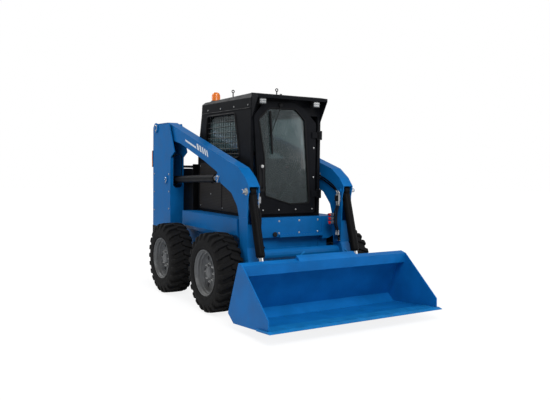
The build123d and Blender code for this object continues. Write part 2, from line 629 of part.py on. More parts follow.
def cab_roof():
    """Roof pressing, the front visor over the door and the visor's cheek plates."""
    crown = [
        (CAB_REAR_TOP_Y, CAB_EAVES_Z), (CAB_REAR_TOP_Y - 12, ROOF_REAR_Z - 20),
        (CAB_REAR_TOP_Y - ROOF_EDGE, ROOF_REAR_Z), (ROOF_PEAK_Y, CAB_ROOF_Z), (CAB_FRONT_Y, CAB_ROOF_Z - 4),
        (CAB_FRONT_Y, CAB_EAVES_Z),
    ]
    lining = [
        (CAB_REAR_TOP_Y - CAB_WALL, CAB_EAVES_Z - 1), (CAB_REAR_TOP_Y - CAB_WALL - 20, ROOF_REAR_Z - 60),
        (ROOF_PEAK_Y, CAB_ROOF_Z - 48), (CAB_FRONT_Y + CAB_WALL, CAB_EAVES_Z - 1),
    ]
    crown_w = CAB_HALF_W - ROOF_CHAMFER
    slope = [(-CAB_HALF_W, CAB_EAVES_Z), (CAB_HALF_W, CAB_EAVES_Z), (CAB_HALF_W, CAB_ROOF_Z - ROOF_EDGE),
             (crown_w, CAB_ROOF_Z + 1), (-crown_w, CAB_ROOF_Z + 1), (-CAB_HALF_W, CAB_ROOF_Z - ROOF_EDGE)]
    roof = side_profile(crown, -CAB_HALF_W, CAB_HALF_W) & front_profile(slope, CAB_FRONT_Y, CAB_REAR_Y)
    roof -= side_profile(lining, CAB_WALL - CAB_HALF_W, CAB_HALF_W - CAB_WALL)
    lip_y, lip_z = VISOR_FRONT_Y + VISOR_LIP_T, VISOR_TIP_Z - VISOR_LIP
    visor = [
        (CAB_FRONT_Y, CAB_ROOF_Z - 4), (VISOR_FRONT_Y, VISOR_TIP_Z), (VISOR_FRONT_Y, lip_z), (lip_y, lip_z),
        (lip_y, VISOR_TIP_Z - VISOR_T), (CAB_FRONT_Y, CAB_ROOF_Z - 4 - VISOR_T),
    ]
    roof += side_profile(visor, -VISOR_HALF_W, VISOR_HALF_W)
    cheek = [
        (CAB_FRONT_Y, CAB_ROOF_Z - 6), (VISOR_FRONT_Y + 2, VISOR_TIP_Z - 2), (VISOR_FRONT_Y + 2, lip_z),
        (CAB_FRONT_Y, CHEEK_FOOT_Z),
    ]
    for _, side in SIDES:
        roof += mirrored(side_profile(cheek, VISOR_HALF_W - 8, VISOR_HALF_W), side)
    save("cab_roof", roof)
    eyes = []
    mid = EYE_TOP_Z - EYE_RING_R
    for x, y in EYE_XY:
        eye = bar((x, y, roof_height(y) + 0.5), (x, y, mid - EYE_RING_R + 4), EYE_STEM_R, THIN_FACETS)
        eye += bar((x, y - 5, mid), (x, y + 5, mid), EYE_RING_R, THIN_FACETS)
        eye -= bar((x, y - 6, mid), (x, y + 6, mid), EYE_HOLE_R, THIN_FACETS)
        eyes.append(eye)
    save("lifting_eyes", *eyes)


def roof_height(y):
    """Height of the roof's top face, which slopes from its peak down to the rear."""
    fall = (CAB_ROOF_Z - ROOF_REAR_Z) / (CAB_REAR_TOP_Y - ROOF_EDGE - ROOF_PEAK_Y)
    return CAB_ROOF_Z - (y - ROOF_PEAK_Y) * fall


def cab_windows():
    """Two side panes against the walls' inner faces, and the slanting rear pane."""
    inner_w = CAB_HALF_W - CAB_WALL
    pane = side_profile(side_window_outline(PANE_OVERLAP), inner_w - GLASS_T, inner_w)
    panes = [mirrored(pane, side) for _, side in SIDES]
    lean = (CAB_REAR_Y - CAB_REAR_TOP_Y) / (CAB_EAVES_Z - CAB_WAIST_Z)
    low, high = CAB_WAIST_Z + 5, CAB_EAVES_Z - 30
    rear = side_profile([
        (CAB_REAR_Y - CAB_WALL - 0.3 - lean * (z - CAB_WAIST_Z) - depth, z)
        for z, depth in ((low, 0), (high, 0), (high, GLASS_T), (low, GLASS_T))
    ], -REAR_WINDOW_HALF_W - 20, REAR_WINDOW_HALF_W + 20)
    save("cab_windows", *panes, rear)


def seat():
    half = SEAT_HALF_W
    base_top, seat_top = FENDER_TOP_Z + SEAT_BASE_UP, FENDER_TOP_Z + SEAT_UP
    back_top = FENDER_TOP_Z + SEAT_BACK_UP
    save("seat_base", block(10 - half, half - 10, SHELF_FRONT_Y + 20, 640, SHELF_Z + PLATE_T, base_top))
    cushion = block(-half, half, 130, 590, base_top + SEAT_GAP, seat_top)
    back = side_profile([
        (470, seat_top + SEAT_GAP), (590, seat_top + SEAT_GAP), (665, back_top), (570, back_top),
    ], 5 - half, half - 5)
    save("seat_cushions", cushion, back)


def controls():
    levers = []
    console_z = FENDER_TOP_Z + SEAT_UP + 20
    neck = (290, 60, console_z + STICK_LONG)
    for _, side in SIDES:
        console = block(SEAT_HALF_W + 15, CAB_HALF_W - CAB_WALL - 0.5, 60, 560, FENDER_TOP_Z + 20, console_z)
        stick = bar((300, 120, console_z - 5), neck, 12, SMALL_FACETS)
        grip = bar(neck, (286, 35, neck[2] + GRIP_LONG), 22, SMALL_FACETS)
        levers.append(mirrored(console + stick + grip, side))
    save("operator_controls", *levers)


def lamps():
    """Work lamps under the visor's corners, tail lamps on the towers and the beacon on the roof."""
    solids = []
    lip_y, lip_z = VISOR_FRONT_Y + VISOR_LIP_T, VISOR_TIP_Z - VISOR_T
    under = (CAB_ROOF_Z - 4 - VISOR_T - lip_z) / (CAB_FRONT_Y - lip_y)
    front, rear = LAMP_Y
    for _, side in SIDES:
        x0 = WORK_LAMP_X[side]
        tops = [(y, lip_z + under * (y - lip_y) - 0.3) for y in LAMP_Y]
        outline = [(front, LAMP_FOOT_Z), (rear, LAMP_FOOT_Z), tops[1], tops[0]]
        work = side_profile(outline, x0, x0 + LAMP_WIDE)
        tail = block(TOWER_OUTER_X - 84, TOWER_OUTER_X + 4, TOWER_REAR_Y, TOWER_REAR_Y + TAIL_LAMP_T,
                     *TAIL_LAMP_Z)
        solids += [mirrored(work, side), mirrored(tail, side)]
    save("lamps", *solids)
    x, y = BEACON_XY
    foot = roof_height(y - BEACON_FOOT_R) + 0.3
    top = foot + BEACON_TALL
    dome = bar((x, y, foot), (x, y, foot + 14), BEACON_FOOT_R, HUB_FACETS)
    dome += bar((x, y, foot), (x, y, top), BEACON_R, HUB_FACETS)
    dome += loft([
        Plane(origin=(x, y, z)) * RegularPolygon(r, HUB_FACETS)
        for z, r in ((top, BEACON_R), (top + 16, BEACON_R - 18))
    ])
    save("beacon", dome)


def cab_door():
    """Front door: a rounded frame round one large pane, hinged at the +X side."""
    y1 = CAB_FRONT_Y - DOOR_GAP
    y0 = y1 - DOOR_T
    frame = front_profile(DOOR_OUTLINE, y0, y1, DOOR_CORNER_R)
    frame -= front_profile(PANE_OUTLINE, y0 - 5, y1 + 5, PANE_CORNER_R)
    line = Plane(origin=(*CAB_HINGE, 0))
    for z in CAB_HINGE_Z:
        leaf = block(CAB_HINGE[0] - 70, CAB_HINGE[0], CAB_HINGE[1] - HINGE_R + 4, y0,
                     z - HINGE_LONG / 2, z + HINGE_LONG / 2)
        frame += leaf - knuckle_bore(line, z)
        frame += knuckle(line, z)
    save("door_frame", frame)
    save("door_glass", front_profile(PANE_OUTLINE, y0 + GLASS_IN, y0 + GLASS_IN + GLASS_T, PANE_CORNER_R))


# ---------------------------------------------------------------- boom
ARM_OUTLINE = [
    (1585, 1902), (1225, 1902), (-505, 1392), (-640, 1300), (-712, 1215), (-690, 1110), (-680, 650),
    (-835, 250), (-825, 180), (-780, 165), (-725, 185), (-560, 600), (-525, 926), (-489, 1026), (-370, 1147),
    (-141, 1236), (-110, 1270), (-60, 1345), (244, 1458), (874, 1653), (1440, 1745), (1585, 1800),
]
ARM_CORE = [
    (1590, 1890), (1230, 1890), (-500, 1380), (-630, 1292), (-700, 1215), (-800, 1215), (-800, 865),
    (-668, 865), (-650, 690), (-585, 690), (-537, 926), (-489, 1014), (-370, 1135), (-141, 1200),
    (-60, 1200), (260, 1400), (300, 1480), (874, 1665), (1440, 1757), (1590, 1757),
]


def boom():
    """The two bent box arms, open below for the lift rods and in front for the tilt cylinders."""
    eye_side = EYE_WIDTH / 2 + EYE_GAP
    for name, side in SIDES:
        arm = side_profile(ARM_OUTLINE, ARM_IN, ARM_OUT)
        arm -= side_profile(ARM_CORE, ARM_IN + ARM_PLATE, ARM_OUT - ARM_PLATE)
        arm -= prism_x(ARM_IN - 5, ARM_OUT + 5, PIVOT, around(PIVOT_PIN_R + PIN_CLEAR))
        arm += prism_x(ARM_IN - 18, ARM_OUT + 50, KNEE_PIN, PIN_R)
        for x in (ARM_IN, ARM_OUT - ARM_PLATE):
            arm += prism_x(x, x + ARM_PLATE, LIFT_PIN, LIFT_BOSS_R)
        arm += prism_x(ARM_CENTRE_X + eye_side, ARM_OUT + 16, LIFT_PIN, PIN_R)
        arm += prism_x(ARM_IN, ARM_CENTRE_X - eye_side, LIFT_PIN, PIN_R)
        arm -= prism_x(ARM_IN - 5, ARM_OUT + 5, COUPLER_PIN, around(PIN_R + PIN_CLEAR))
        save(f"boom_arm_{name}", mirrored(arm, side))
    save("boom_cross_tube", prism_x(-ARM_IN, ARM_IN, CROSS_TUBE, CROSS_TUBE_R, AXLE_FACETS))


def hose(points):
    """A hose along straight runs, mitred where they meet."""
    path = Polyline(*points)
    ring = Plane(path @ 0, z_dir=path % 0) * RegularPolygon(HOSE_R, THIN_FACETS)
    return sweep(ring, path=path, transition=Transition.RIGHT)


def boom_plumbing():
    """Pipe blocks, hoses down the arms' inner sides and the quick couplers on the left arm."""
    hoses = []
    fittings = []
    face = ARM_IN - FITTING_GAP
    top, low = KNEE_PIN[1] - 110, HOSE_FOOT_Z
    x = face - FITTING_T / 2
    front, rear = HOSE_Y[0] - 15, HOSE_Y[1] + 16
    for _, side in SIDES:
        for z in (top, low - FITTING_TALL):
            fittings.append(mirrored(block(face - FITTING_T, face, front, rear, z, z + FITTING_TALL), side))
        for y in HOSE_Y:
            route = [(x, y, top - FITTING_GAP), (x, y, top - 50), (x - HOSE_BOW, y, (top + low) / 2),
                     (x, y, low + 50), (x, y, low + FITTING_GAP)]
            hoses.append(mirrored(hose(route), side))
    for z in QUICK_Z:
        quick = block(face - QUICK_BASE_T, face, QUICK_Y - 18, QUICK_Y + 18, z - 18, z + 18)
        quick += prism_x(face - 62, face - QUICK_BASE_T, (QUICK_Y, z), QUICK_R, SMALL_FACETS)
        quick += prism_x(face - 86, face - 62, (QUICK_Y, z), QUICK_R - 4, THIN_FACETS)
        fittings.append(quick)
    save("boom_hoses", *hoses)
    save("boom_fittings", *fittings)


def cylinder_pair(name, base, pin, barrel_r, rod_r, barrel_long, stroke_gap, side):
    """A hydraulic cylinder from its base eye to its rod eye: the barrel and the rod."""
    a = Vector(ARM_CENTRE_X, *base)
    b = Vector(ARM_CENTRE_X, *pin)
    axis = (b - a).normalized()
    eye_r = barrel_r + 2
    mouth = a + axis * barrel_long
    bore_end = a + axis * (eye_r + 20)
    barrel = bar(a + axis * (eye_r - 12), mouth, barrel_r, HUB_FACETS)
    barrel -= bar(bore_end, mouth + axis * 5, rod_r + around(PIN_CLEAR), BAR_FACETS)
    barrel += prism_x(ARM_CENTRE_X - EYE_WIDTH / 2, ARM_CENTRE_X + EYE_WIDTH / 2, base, eye_r)
    barrel -= prism_x(ARM_CENTRE_X - 100, ARM_CENTRE_X + 100, base, around(PIN_R + PIN_CLEAR))
    rod = bar(bore_end + axis * stroke_gap, b - axis * (rod_r + 6), rod_r, BAR_FACETS)
    rod += prism_x(ARM_CENTRE_X - EYE_WIDTH / 2, ARM_CENTRE_X + EYE_WIDTH / 2, pin, rod_r + 16)
    save(f"{name}_barrel", mirrored(barrel, side))
    save(f"{name}_rod", mirrored(rod, side))


def cylinders():
    for name, side in SIDES:
        cylinder_pair(f"lift_{name}", LIFT_BASE, LIFT_PIN, LIFT_BARREL_R, LIFT_ROD_R, LIFT_BARREL_LONG,
                      LIFT_STROKE_GAP, side)
        cylinder_pair(f"tilt_{name}", KNEE_PIN, TILT_PIN, TILT_BARREL_R, TILT_ROD_R, TILT_BARREL_LONG,
                      TILT_STROKE_GAP, side)


# ---------------------------------------------------------------- coupler and bucket
def back_point(along, behind):
    """A point measured up the bucket's slanting back from its heel, and this far behind it."""
    y = BUCKET_CREST[0] - BUCKET_HEEL[0]
    z = BUCKET_CREST[1] - BUCKET_HEEL[1]
    long = math.hypot(y, z)
    up, back = (y / long, z / long), (z / long, -y / long)
    return tuple(BUCKET_HEEL[k] + up[k] * along + back[k] * behind for k in (0, 1))


def coupler():
    """Quick-attach plate behind the bucket, with ears for the hinge and tilt pins, and its two levers."""
    back = COUPLER_GAP + COUPLER_T
    low, high = COUPLER_ALONG
    plate = side_profile([
        back_point(low, COUPLER_GAP), back_point(high, COUPLER_GAP),
        back_point(high, back), back_point(low, back),
    ], -COUPLER_HALF_W, COUPLER_HALF_W)
    ears = []
    inner = ARM_IN - ARM_GAP
    outer = ARM_OUT + ARM_GAP
    eye_side = EYE_WIDTH / 2 + EYE_GAP
    for _, side in SIDES:
        for x in (inner - EAR_T, outer):
            ear = side_profile([
                back_point(380, back - 1), (TILT_PIN[0] + 5, TILT_PIN[1] + 42),
                (TILT_PIN[0] + EAR_REACH, TILT_PIN[1] + 10),
                (COUPLER_PIN[0] + EAR_REACH, COUPLER_PIN[1] + 30),
                (COUPLER_PIN[0] + EAR_REACH, COUPLER_PIN[1] - 30),
                (COUPLER_PIN[0] - 10, COUPLER_PIN[1] - 58),
                back_point(low, back - 1),
            ], x, x + EAR_T)
            ears.append(mirrored(ear, side))
        ears.append(mirrored(prism_x(inner, outer, COUPLER_PIN, PIN_R), side))
        for x0, x1 in ((inner, ARM_CENTRE_X - eye_side), (ARM_CENTRE_X + eye_side, outer)):
            ears.append(mirrored(prism_x(x0, x1, TILT_PIN, PIN_R + 6, SMALL_FACETS), side))
    save("coupler", plate + ears)
    levers = []
    for _, side in SIDES:
        foot = back_point(330, back + LATCH_T - 8)
        knee = back_point(486, back + LATCH_T - 8)
        lever = bar((LATCH_X, *foot), (LATCH_X, *knee), LEVER_R, THIN_FACETS)
        lever += bar((LATCH_X, *knee), (LATCH_X - 60, knee[0] - 4, knee[1] + 50), LEVER_R, THIN_FACETS)
        lever += side_profile([
            back_point(290, back + COUPLER_GAP), back_point(370, back + COUPLER_GAP),
            back_point(370, back + LATCH_T), back_point(290, back + LATCH_T),
        ], LATCH_X - 18, LATCH_X + 18)
        levers.append(mirrored(lever, side))
    save("latch_levers", *levers)


def bucket():
    """Low-profile bucket: bent floor and back with a box lip, side plates and a cutting edge."""
    heel_front = HEEL_FRONT
    front = (EDGE_BACK_Y, FLOOR_FRONT_Z)
    section = [
        front, heel_front, BUCKET_HEEL, BUCKET_CREST, LIP_TOP, LIP_FOOT, (LIP_FOOT[0] + 92, LIP_FOOT[1] - 4),
        back_point(14, -BUCKET_WALL), (heel_front[0] - 2, heel_front[1] + BUCKET_WALL + 0.6),
        (EDGE_BACK_Y, front[1] + BUCKET_WALL),
    ]
    shell = side_profile(section, -BUCKET_HALF_W, BUCKET_HALF_W)
    crest = side_profile([
        back_point(480, 0), back_point(530, 0), (LIP_TOP[0] + 20, LIP_TOP[1] + 30), LIP_TOP,
        (LIP_TOP[0] + 4, LIP_TOP[1] - 10),
    ], *CREST_X)
    cheek = [
        BUCKET_HEEL, heel_front, front, (EDGE_BACK_Y, EDGE_TOP_Z + 1), (CHEEK_FOOT_Y, EDGE_TOP_Z + 13),
        CHEEK_NOSE, LIP_TOP, BUCKET_CREST,
    ]
    sides = [
        mirrored(side_profile(cheek, BUCKET_HALF_W - CHEEK_T, BUCKET_HALF_W), side) for _, side in SIDES
    ]
    save("bucket_shell", shell + crest + sides)
    edge = side_profile([
        (EDGE_BACK_Y - EDGE_GAP, EDGE_TOP_Z), (EDGE_BACK_Y - EDGE_GAP, EDGE_TOP_Z - EDGE_T),
        (EDGE_TIP_Y, EDGE_TOP_Z - 3), (EDGE_TIP_Y, EDGE_TOP_Z + 1), (CHEEK_FOOT_Y - 10, EDGE_TOP_Z + 12),
    ], -EDGE_HALF_W, EDGE_HALF_W)
    save("cutting_edge", edge)


# ---------------------------------------------------------------- build
def main():
    os.makedirs("parts", exist_ok=True)
    wheels()
    axle_housings()
    main_frame()
    rear_towers()
    rear_frame()
    engine()
    hood()
    cab_frame()
    cab_roof()
    cab_windows()
    seat()
    controls()
    lamps()
    cab_door()
    boom()
    boom_plumbing()
    cylinders()
    coupler()
    bucket()


main()
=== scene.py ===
import bpy
import bmesh
import json
import math
import random
from mathutils import Matrix, Vector


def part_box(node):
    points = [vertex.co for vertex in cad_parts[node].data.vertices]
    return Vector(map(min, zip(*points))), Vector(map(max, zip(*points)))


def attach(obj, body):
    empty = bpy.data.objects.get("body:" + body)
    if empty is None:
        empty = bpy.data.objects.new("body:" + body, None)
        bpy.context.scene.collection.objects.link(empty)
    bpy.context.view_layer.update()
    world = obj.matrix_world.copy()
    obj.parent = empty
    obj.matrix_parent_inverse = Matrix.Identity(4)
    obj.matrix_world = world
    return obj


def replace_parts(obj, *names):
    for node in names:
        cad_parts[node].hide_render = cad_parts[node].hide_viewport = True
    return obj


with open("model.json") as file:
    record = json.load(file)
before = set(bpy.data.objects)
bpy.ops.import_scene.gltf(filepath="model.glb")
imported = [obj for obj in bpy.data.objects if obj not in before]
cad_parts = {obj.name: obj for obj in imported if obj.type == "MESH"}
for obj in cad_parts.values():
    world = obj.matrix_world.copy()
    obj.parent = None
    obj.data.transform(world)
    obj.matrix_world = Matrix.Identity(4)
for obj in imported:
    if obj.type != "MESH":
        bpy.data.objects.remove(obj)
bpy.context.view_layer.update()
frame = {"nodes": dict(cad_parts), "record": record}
random.seed(11)
NODES = frame["nodes"]
JOINTS = {j["name"]: j for j in frame["record"]["behaviour"]["joints"]}
SIDES = (("left", 1), ("right", -1))
ENDS = ("front", "rear")
X, Y, Z = Vector((1, 0, 0)), Vector((0, 1, 0)), Vector((0, 0, 1))


# --- materials
def link(tree, a, b):
    tree.links.new(a, b)


def reckon(tree, operation, a, b=None):
    """A math node on one or two inputs, each a socket or a number."""
    node = tree.nodes.new("ShaderNodeMath")
    node.operation = operation
    for socket, value in zip(node.inputs, (a, b)):
        if isinstance(value, (int, float)):
            socket.default_value = value
        elif value is not None:
            link(tree, value, socket)
    return node.outputs[0]


def ramp(tree, source, low, high, a=0.35, b=0.65):
    """A colour ramp between two colours over part of a noise's range."""
    node = tree.nodes.new("ShaderNodeValToRGB")
    node.color_ramp.elements[0].position = a
    node.color_ramp.elements[0].color = (*low, 1)
    node.color_ramp.elements[1].position = b
    node.color_ramp.elements[1].color = (*high, 1)
    link(tree, source, node.inputs[0])
    return node.outputs[0]


def noise(tree, coords, scale, detail=4.0, stretch=(1, 1, 1)):
    """Noise over the object's own coordinates."""
    mapping = tree.nodes.new("ShaderNodeMapping")
    mapping.inputs["Scale"].default_value = stretch
    link(tree, coords, mapping.inputs[0])
    node = tree.nodes.new("ShaderNodeTexNoise")
    node.inputs["Scale"].default_value = scale
    node.inputs["Detail"].default_value = detail
    link(tree, mapping.outputs[0], node.inputs["Vector"])
    return node.outputs[0]


def mix(tree, factor, a, b):
    """Mixes two colours, each a socket or a plain colour, by a factor socket."""
    node = tree.nodes.new("ShaderNodeMix")
    node.data_type = "RGBA"
    link(tree, factor, node.inputs[0])
    for socket, value in ((node.inputs[6], a), (node.inputs[7], b)):
        if isinstance(value, tuple):
            socket.default_value = (*value, 1)
        else:
            link(tree, value, socket)
    return node.outputs[2]


def scaled(tree, source, low, high, a=0.3, b=0.7):
    """A number that runs from low to high while the source runs from a to b."""
    node = tree.nodes.new("ShaderNodeMapRange")
    for name, value in (("From Min", a), ("From Max", b), ("To Min", low), ("To Max", high)):
        node.inputs[name].default_value = value
    link(tree, source, node.inputs[0])
    return node.outputs[0]


def material(name, colour, rough=0.45, metal=0.0, vary=0.12, scale=9.0, grain=260.0, bump=0.1, depth=0.0006,
        coat=0.0, dust=None, dust_top=0.5, transmission=0.0, glow=0.0, pattern=None, sheen=0.0, spec=0.12):
    """A painted, plastic, rubber, glass or metal surface with uneven colour, grain and dust low down."""
    made = bpy.data.materials.new(name)
    made.use_nodes = True
    tree = made.node_tree
    shader = tree.nodes["Principled BSDF"]
    coords = tree.nodes.new("ShaderNodeTexCoord").outputs["Object"]
    broad = noise(tree, coords, scale, 5)
    fine = noise(tree, coords, grain, 3)
    dark, light = (tuple(min(1, c * share) for c in colour) for share in (1 - vary, 1 + vary))
    tint = ramp(tree, broad, dark, light)
    if dust:
        split = tree.nodes.new("ShaderNodeSeparateXYZ")
        link(tree, coords, split.inputs[0])
        low = scaled(tree, split.outputs[2], 0.75, 0.0, 0.0, dust_top)
        patchy = reckon(tree, "MULTIPLY", low, scaled(tree, noise(tree, coords, 22, 6), 0.1, 1.0))
        tint = mix(tree, patchy, tint, dust)
    if pattern:
        tint = mix(tree, pattern(tree, coords), tint, tuple(c * 0.12 for c in colour))
    link(tree, tint, shader.inputs["Base Color"])
    link(tree, scaled(tree, broad, max(0.02, rough - 0.07), min(1, rough + 0.09)), shader.inputs["Roughness"])
    if bump:
        relief = tree.nodes.new("ShaderNodeBump")
        relief.inputs["Strength"].default_value = bump
        relief.inputs["Distance"].default_value = depth
        link(tree, fine, relief.inputs["Height"])
        link(tree, relief.outputs[0], shader.inputs["Normal"])
    for label, value in (("Metallic", metal), ("Specular IOR Level", max(spec, transmission / 2)),
            ("Coat Weight", coat), ("Coat Roughness", 0.12), ("Transmission Weight", transmission),
            ("Sheen Weight", sheen)):
        shader.inputs[label].default_value = value
    if glow:
        shader.inputs["Emission Color"].default_value = (*colour, 1)
        shader.inputs["Emission Strength"].default_value = glow
    return made


def dots(pitch, share):
    """Pattern of round holes in a sheet, at this pitch along Y and Z."""
    def build(tree, coords):
        split = tree.nodes.new("ShaderNodeSeparateXYZ")
        link(tree, coords, split.inputs[0])
        waves = [reckon(tree, "COSINE", reckon(tree, "MULTIPLY", split.outputs[axis], 2 * math.pi / pitch))
            for axis in (1, 2)]
        return scaled(tree, reckon(tree, "ADD", *waves), 0.0, 1.0, share, share + 0.25)
    return build


DUST = (0.10, 0.09, 0.075)
BLUE = (0.0035, 0.115, 0.345)
MATS = {name: material(name, colour, rough, **rest) for name, colour, rough, rest in (
    ("blue_paint", BLUE, 0.36, dict(vary=0.06, bump=0.04, coat=0.02, dust=(0.03, 0.08, 0.17), dust_top=0.3,
     spec=0.08)),
    ("bucket_steel", (0.0035, 0.125, 0.385), 0.4, dict(vary=0.1, scale=5, bump=0.08, coat=0.02, spec=0.08)),
    ("charcoal_paint", (0.0055, 0.006, 0.0075), 0.42, dict(vary=0.12, bump=0.06, spec=0.05)),
    ("black_paint", (0.004, 0.004, 0.0045), 0.44, dict(vary=0.2, bump=0.1, spec=0.06)),
    ("rim_paint", (0.14, 0.145, 0.15), 0.42, dict(metal=0.2, vary=0.08, bump=0.08, dust=DUST, dust_top=0.5)),
    ("tyre_rubber", (0.0065, 0.0065, 0.007), 0.8, dict(vary=0.25, scale=30, bump=0.3, depth=0.0008,
     dust=(0.017, 0.016, 0.0145), dust_top=0.9)),
    ("chrome_rod", (0.66, 0.67, 0.68), 0.16, dict(metal=1.0, vary=0.04, bump=0.03, grain=600)),
    ("glass", (0.26, 0.33, 0.34), 0.06, dict(vary=0.02, bump=0.0, transmission=0.94)),
    ("seat_vinyl", (0.012, 0.042, 0.10), 0.55, dict(vary=0.15, grain=700, bump=0.4, depth=0.0007,
     sheen=0.15)),
    ("control_plastic", (0.014, 0.014, 0.015), 0.6, dict(vary=0.15, grain=500, bump=0.25)),
    ("lamp_plastic", (0.012, 0.012, 0.013), 0.35, dict(vary=0.1)),
    ("beacon_orange", (0.80, 0.20, 0.015), 0.22, dict(vary=0.1, scale=25, bump=0.05, transmission=0.25,
     glow=0.1, coat=0.5)),
    ("engine_iron", (0.03, 0.03, 0.032), 0.6, dict(metal=0.3, vary=0.3, bump=0.4)),
    ("edge_steel", (0.006, 0.155, 0.42), 0.4, dict(vary=0.12, scale=14, bump=0.1)),
    ("hose_rubber", (0.010, 0.010, 0.011), 0.6, dict(vary=0.2, grain=900, bump=0.3)),
    ("white_stripe", (0.62, 0.66, 0.70), 0.4, dict(vary=0.05, bump=0.05)),
    ("red_lens", (0.45, 0.012, 0.012), 0.2, dict(vary=0.08, bump=0.2, grain=300, coat=0.4, glow=0.05)),
    ("amber_lens", (0.65, 0.16, 0.015), 0.2, dict(vary=0.08, bump=0.2, grain=300, coat=0.4, glow=0.05)),
    ("clear_lens", (0.30, 0.32, 0.33), 0.12, dict(vary=0.05, bump=0.3, grain=350, transmission=0.4,
     coat=0.4)),
    ("rubber_seal", (0.006, 0.006, 0.0065), 0.6, dict(vary=0.15, bump=0.15)),
    ("wire_screen", (0.014, 0.014, 0.015), 0.45, dict(metal=0.2, vary=0.15, bump=0.1)),
    ("zinc", (0.50, 0.50, 0.49), 0.3, dict(metal=0.9, vary=0.1, scale=40, bump=0.12)),
    ("red_cap", (0.45, 0.010, 0.010), 0.35, dict(vary=0.1, bump=0.1)),
    ("perforated", (0.035, 0.031, 0.029), 0.5, dict(metal=0.2, vary=0.12, bump=0.1,
     pattern=dots(0.016, 0.75))),
)}

for row in frame["record"]["subparts"]:
    node = NODES[row["node"]]
    node.data.materials.clear()
    node.data.materials.append(MATS[row["material_slot"]])


# --- mesh helpers
MERGE = 1e-6


def add_object(name, data):
    """A new object in the scene."""
    made = bpy.data.objects.new(name, data)
    bpy.context.collection.objects.link(made)
    return made


def mesh_of(name, bm):
    """A mesh from a bmesh, with its faces turned outward."""
    bmesh.ops.recalc_face_normals(bm, faces=bm.faces)
    mesh = bpy.data.meshes.new(name)
    bm.to_mesh(mesh)
    bm.free()
    return mesh


def bake(obj):
    """Applies an object's modifiers to its mesh."""
    bpy.context.view_layer.update()
    mesh = bpy.data.meshes.new_from_object(obj.evaluated_get(bpy.context.evaluated_depsgraph_get()))
    obj.modifiers.clear()
    obj.data = mesh


def dress(made, body, mat, smooth=None, bevel=0.0):
    """Gives a piece its material, shading, softened edges and body."""
    mesh = made.data
    mesh.materials.clear()
    mesh.materials.append(MATS[mat])
    mesh.polygons.foreach_set("use_smooth", [True] * len(mesh.polygons))
    if smooth:
        mesh.set_sharp_from_angle(angle=math.radians(smooth))
    if bevel:
        add_bevel(made, bevel)
    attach(made, body)
    return made


def finish_piece(name, bm, body, mat, bevel=0.0, smooth=32.0):
    """Turns a bmesh into a piece that rides on a body."""
    bmesh.ops.remove_doubles(bm, verts=bm.verts, dist=MERGE)
    return dress(add_object(name, mesh_of(name, bm)), body, mat, smooth, bevel)


def turns(count):
    """Angles spread evenly round a circle."""
    return [2 * math.pi * k / count for k in range(count)]


def at_x(x, pairs):
    """Points in an upright plane across X."""
    return [Vector((x, y, z)) for y, z in pairs]


def at_y(y, pairs):
    """Points in an upright plane across Y."""
    return [Vector((x, y, z)) for x, z in pairs]


def add_bevel(obj, width, segments=2):
    """Rounds the sharp edges of an object by a small width."""
    mod = obj.modifiers.new("edges", "BEVEL")
    mod.width = width
    mod.segments = segments
    mod.limit_method = "ANGLE"
    mod.angle_limit = math.radians(35)
    mod.use_clamp_overlap = True
    mod.harden_normals = True


def add_block(bm, lo, hi):
    """A closed box between two corners."""
    corners = [Vector((x, y, z)) for x in (lo[0], hi[0]) for y in (lo[1], hi[1]) for z in (lo[2], hi[2])]
    v = [bm.verts.new(c) for c in corners]
    for f in ((0, 1, 3, 2), (4, 6, 7, 5), (0, 4, 5, 1), (2, 3, 7, 6), (0, 2, 6, 4), (1, 5, 7, 3)):
        bm.faces.new([v[i] for i in f])


def add_slab(bm, outline, way):
    """A closed plate: an outline of 3-D points, pushed along a vector."""
    a = [bm.verts.new(p) for p in outline]
    b = [bm.verts.new(Vector(p) + way) for p in outline]
    bm.faces.new(a)
    bm.faces.new(b[::-1])
    for i in range(len(a)):
        j = (i + 1) % len(a)
        bm.faces.new((a[i], b[i], b[j], a[j]))


def frame_of(axis):
    """Two directions at right angles to an axis."""
    axis = Vector(axis).normalized()
    side = axis.cross(Z) if abs(axis.z) < 0.9 else axis.cross(X)
    side.normalize()
    return axis, side, axis.cross(side)


def add_lathe(bm, origin, axis, profile, segments=48, ring=False):
    """A body turned round an axis from (distance, radius) points; a ring profile closes on itself."""
    axis, u, v = frame_of(axis)
    origin = Vector(origin)
    loops = []
    for s, r in profile:
        if r < 1e-6:
            loops.append([bm.verts.new(origin + axis * s)])
            continue
        loops.append([bm.verts.new(origin + axis * s + (u * math.cos(t) + v * math.sin(t)) * r)
            for t in turns(segments)])
    pairs = list(zip(loops, loops[1:])) + ([(loops[-1], loops[0])] if ring else [])
    for a, b in pairs:
        for k in range(segments):
            n = (k + 1) % segments
            quad = [a[k % len(a)], a[n % len(a)], b[n % len(b)], b[k % len(b)]]
            corners = list(dict.fromkeys(quad))
            if len(corners) > 2:
                bm.faces.new(corners)
    if not ring:
        for loop in (loops[0], loops[-1]):
            if len(loop) > 1:
                bm.faces.new(loop)


def add_turned(bm, origin, axis, profile, segments=48):
    """A turned solid closed on its axis at both ends of the profile."""
    add_lathe(bm, origin, axis, [(profile[0][0], 0), *profile, (profile[-1][0], 0)], segments)


def add_rod(bm, start, end, radius, segments=20, soft=0.0015):
    """A round bar between two points, with softened ends."""
    way = Vector(end) - Vector(start)
    long = way.length
    soft = min(soft, radius * 0.4, long * 0.2)
    add_turned(bm, start, way, [(0, radius - soft), (soft, radius), (long - soft, radius),
        (long, radius - soft)], segments)


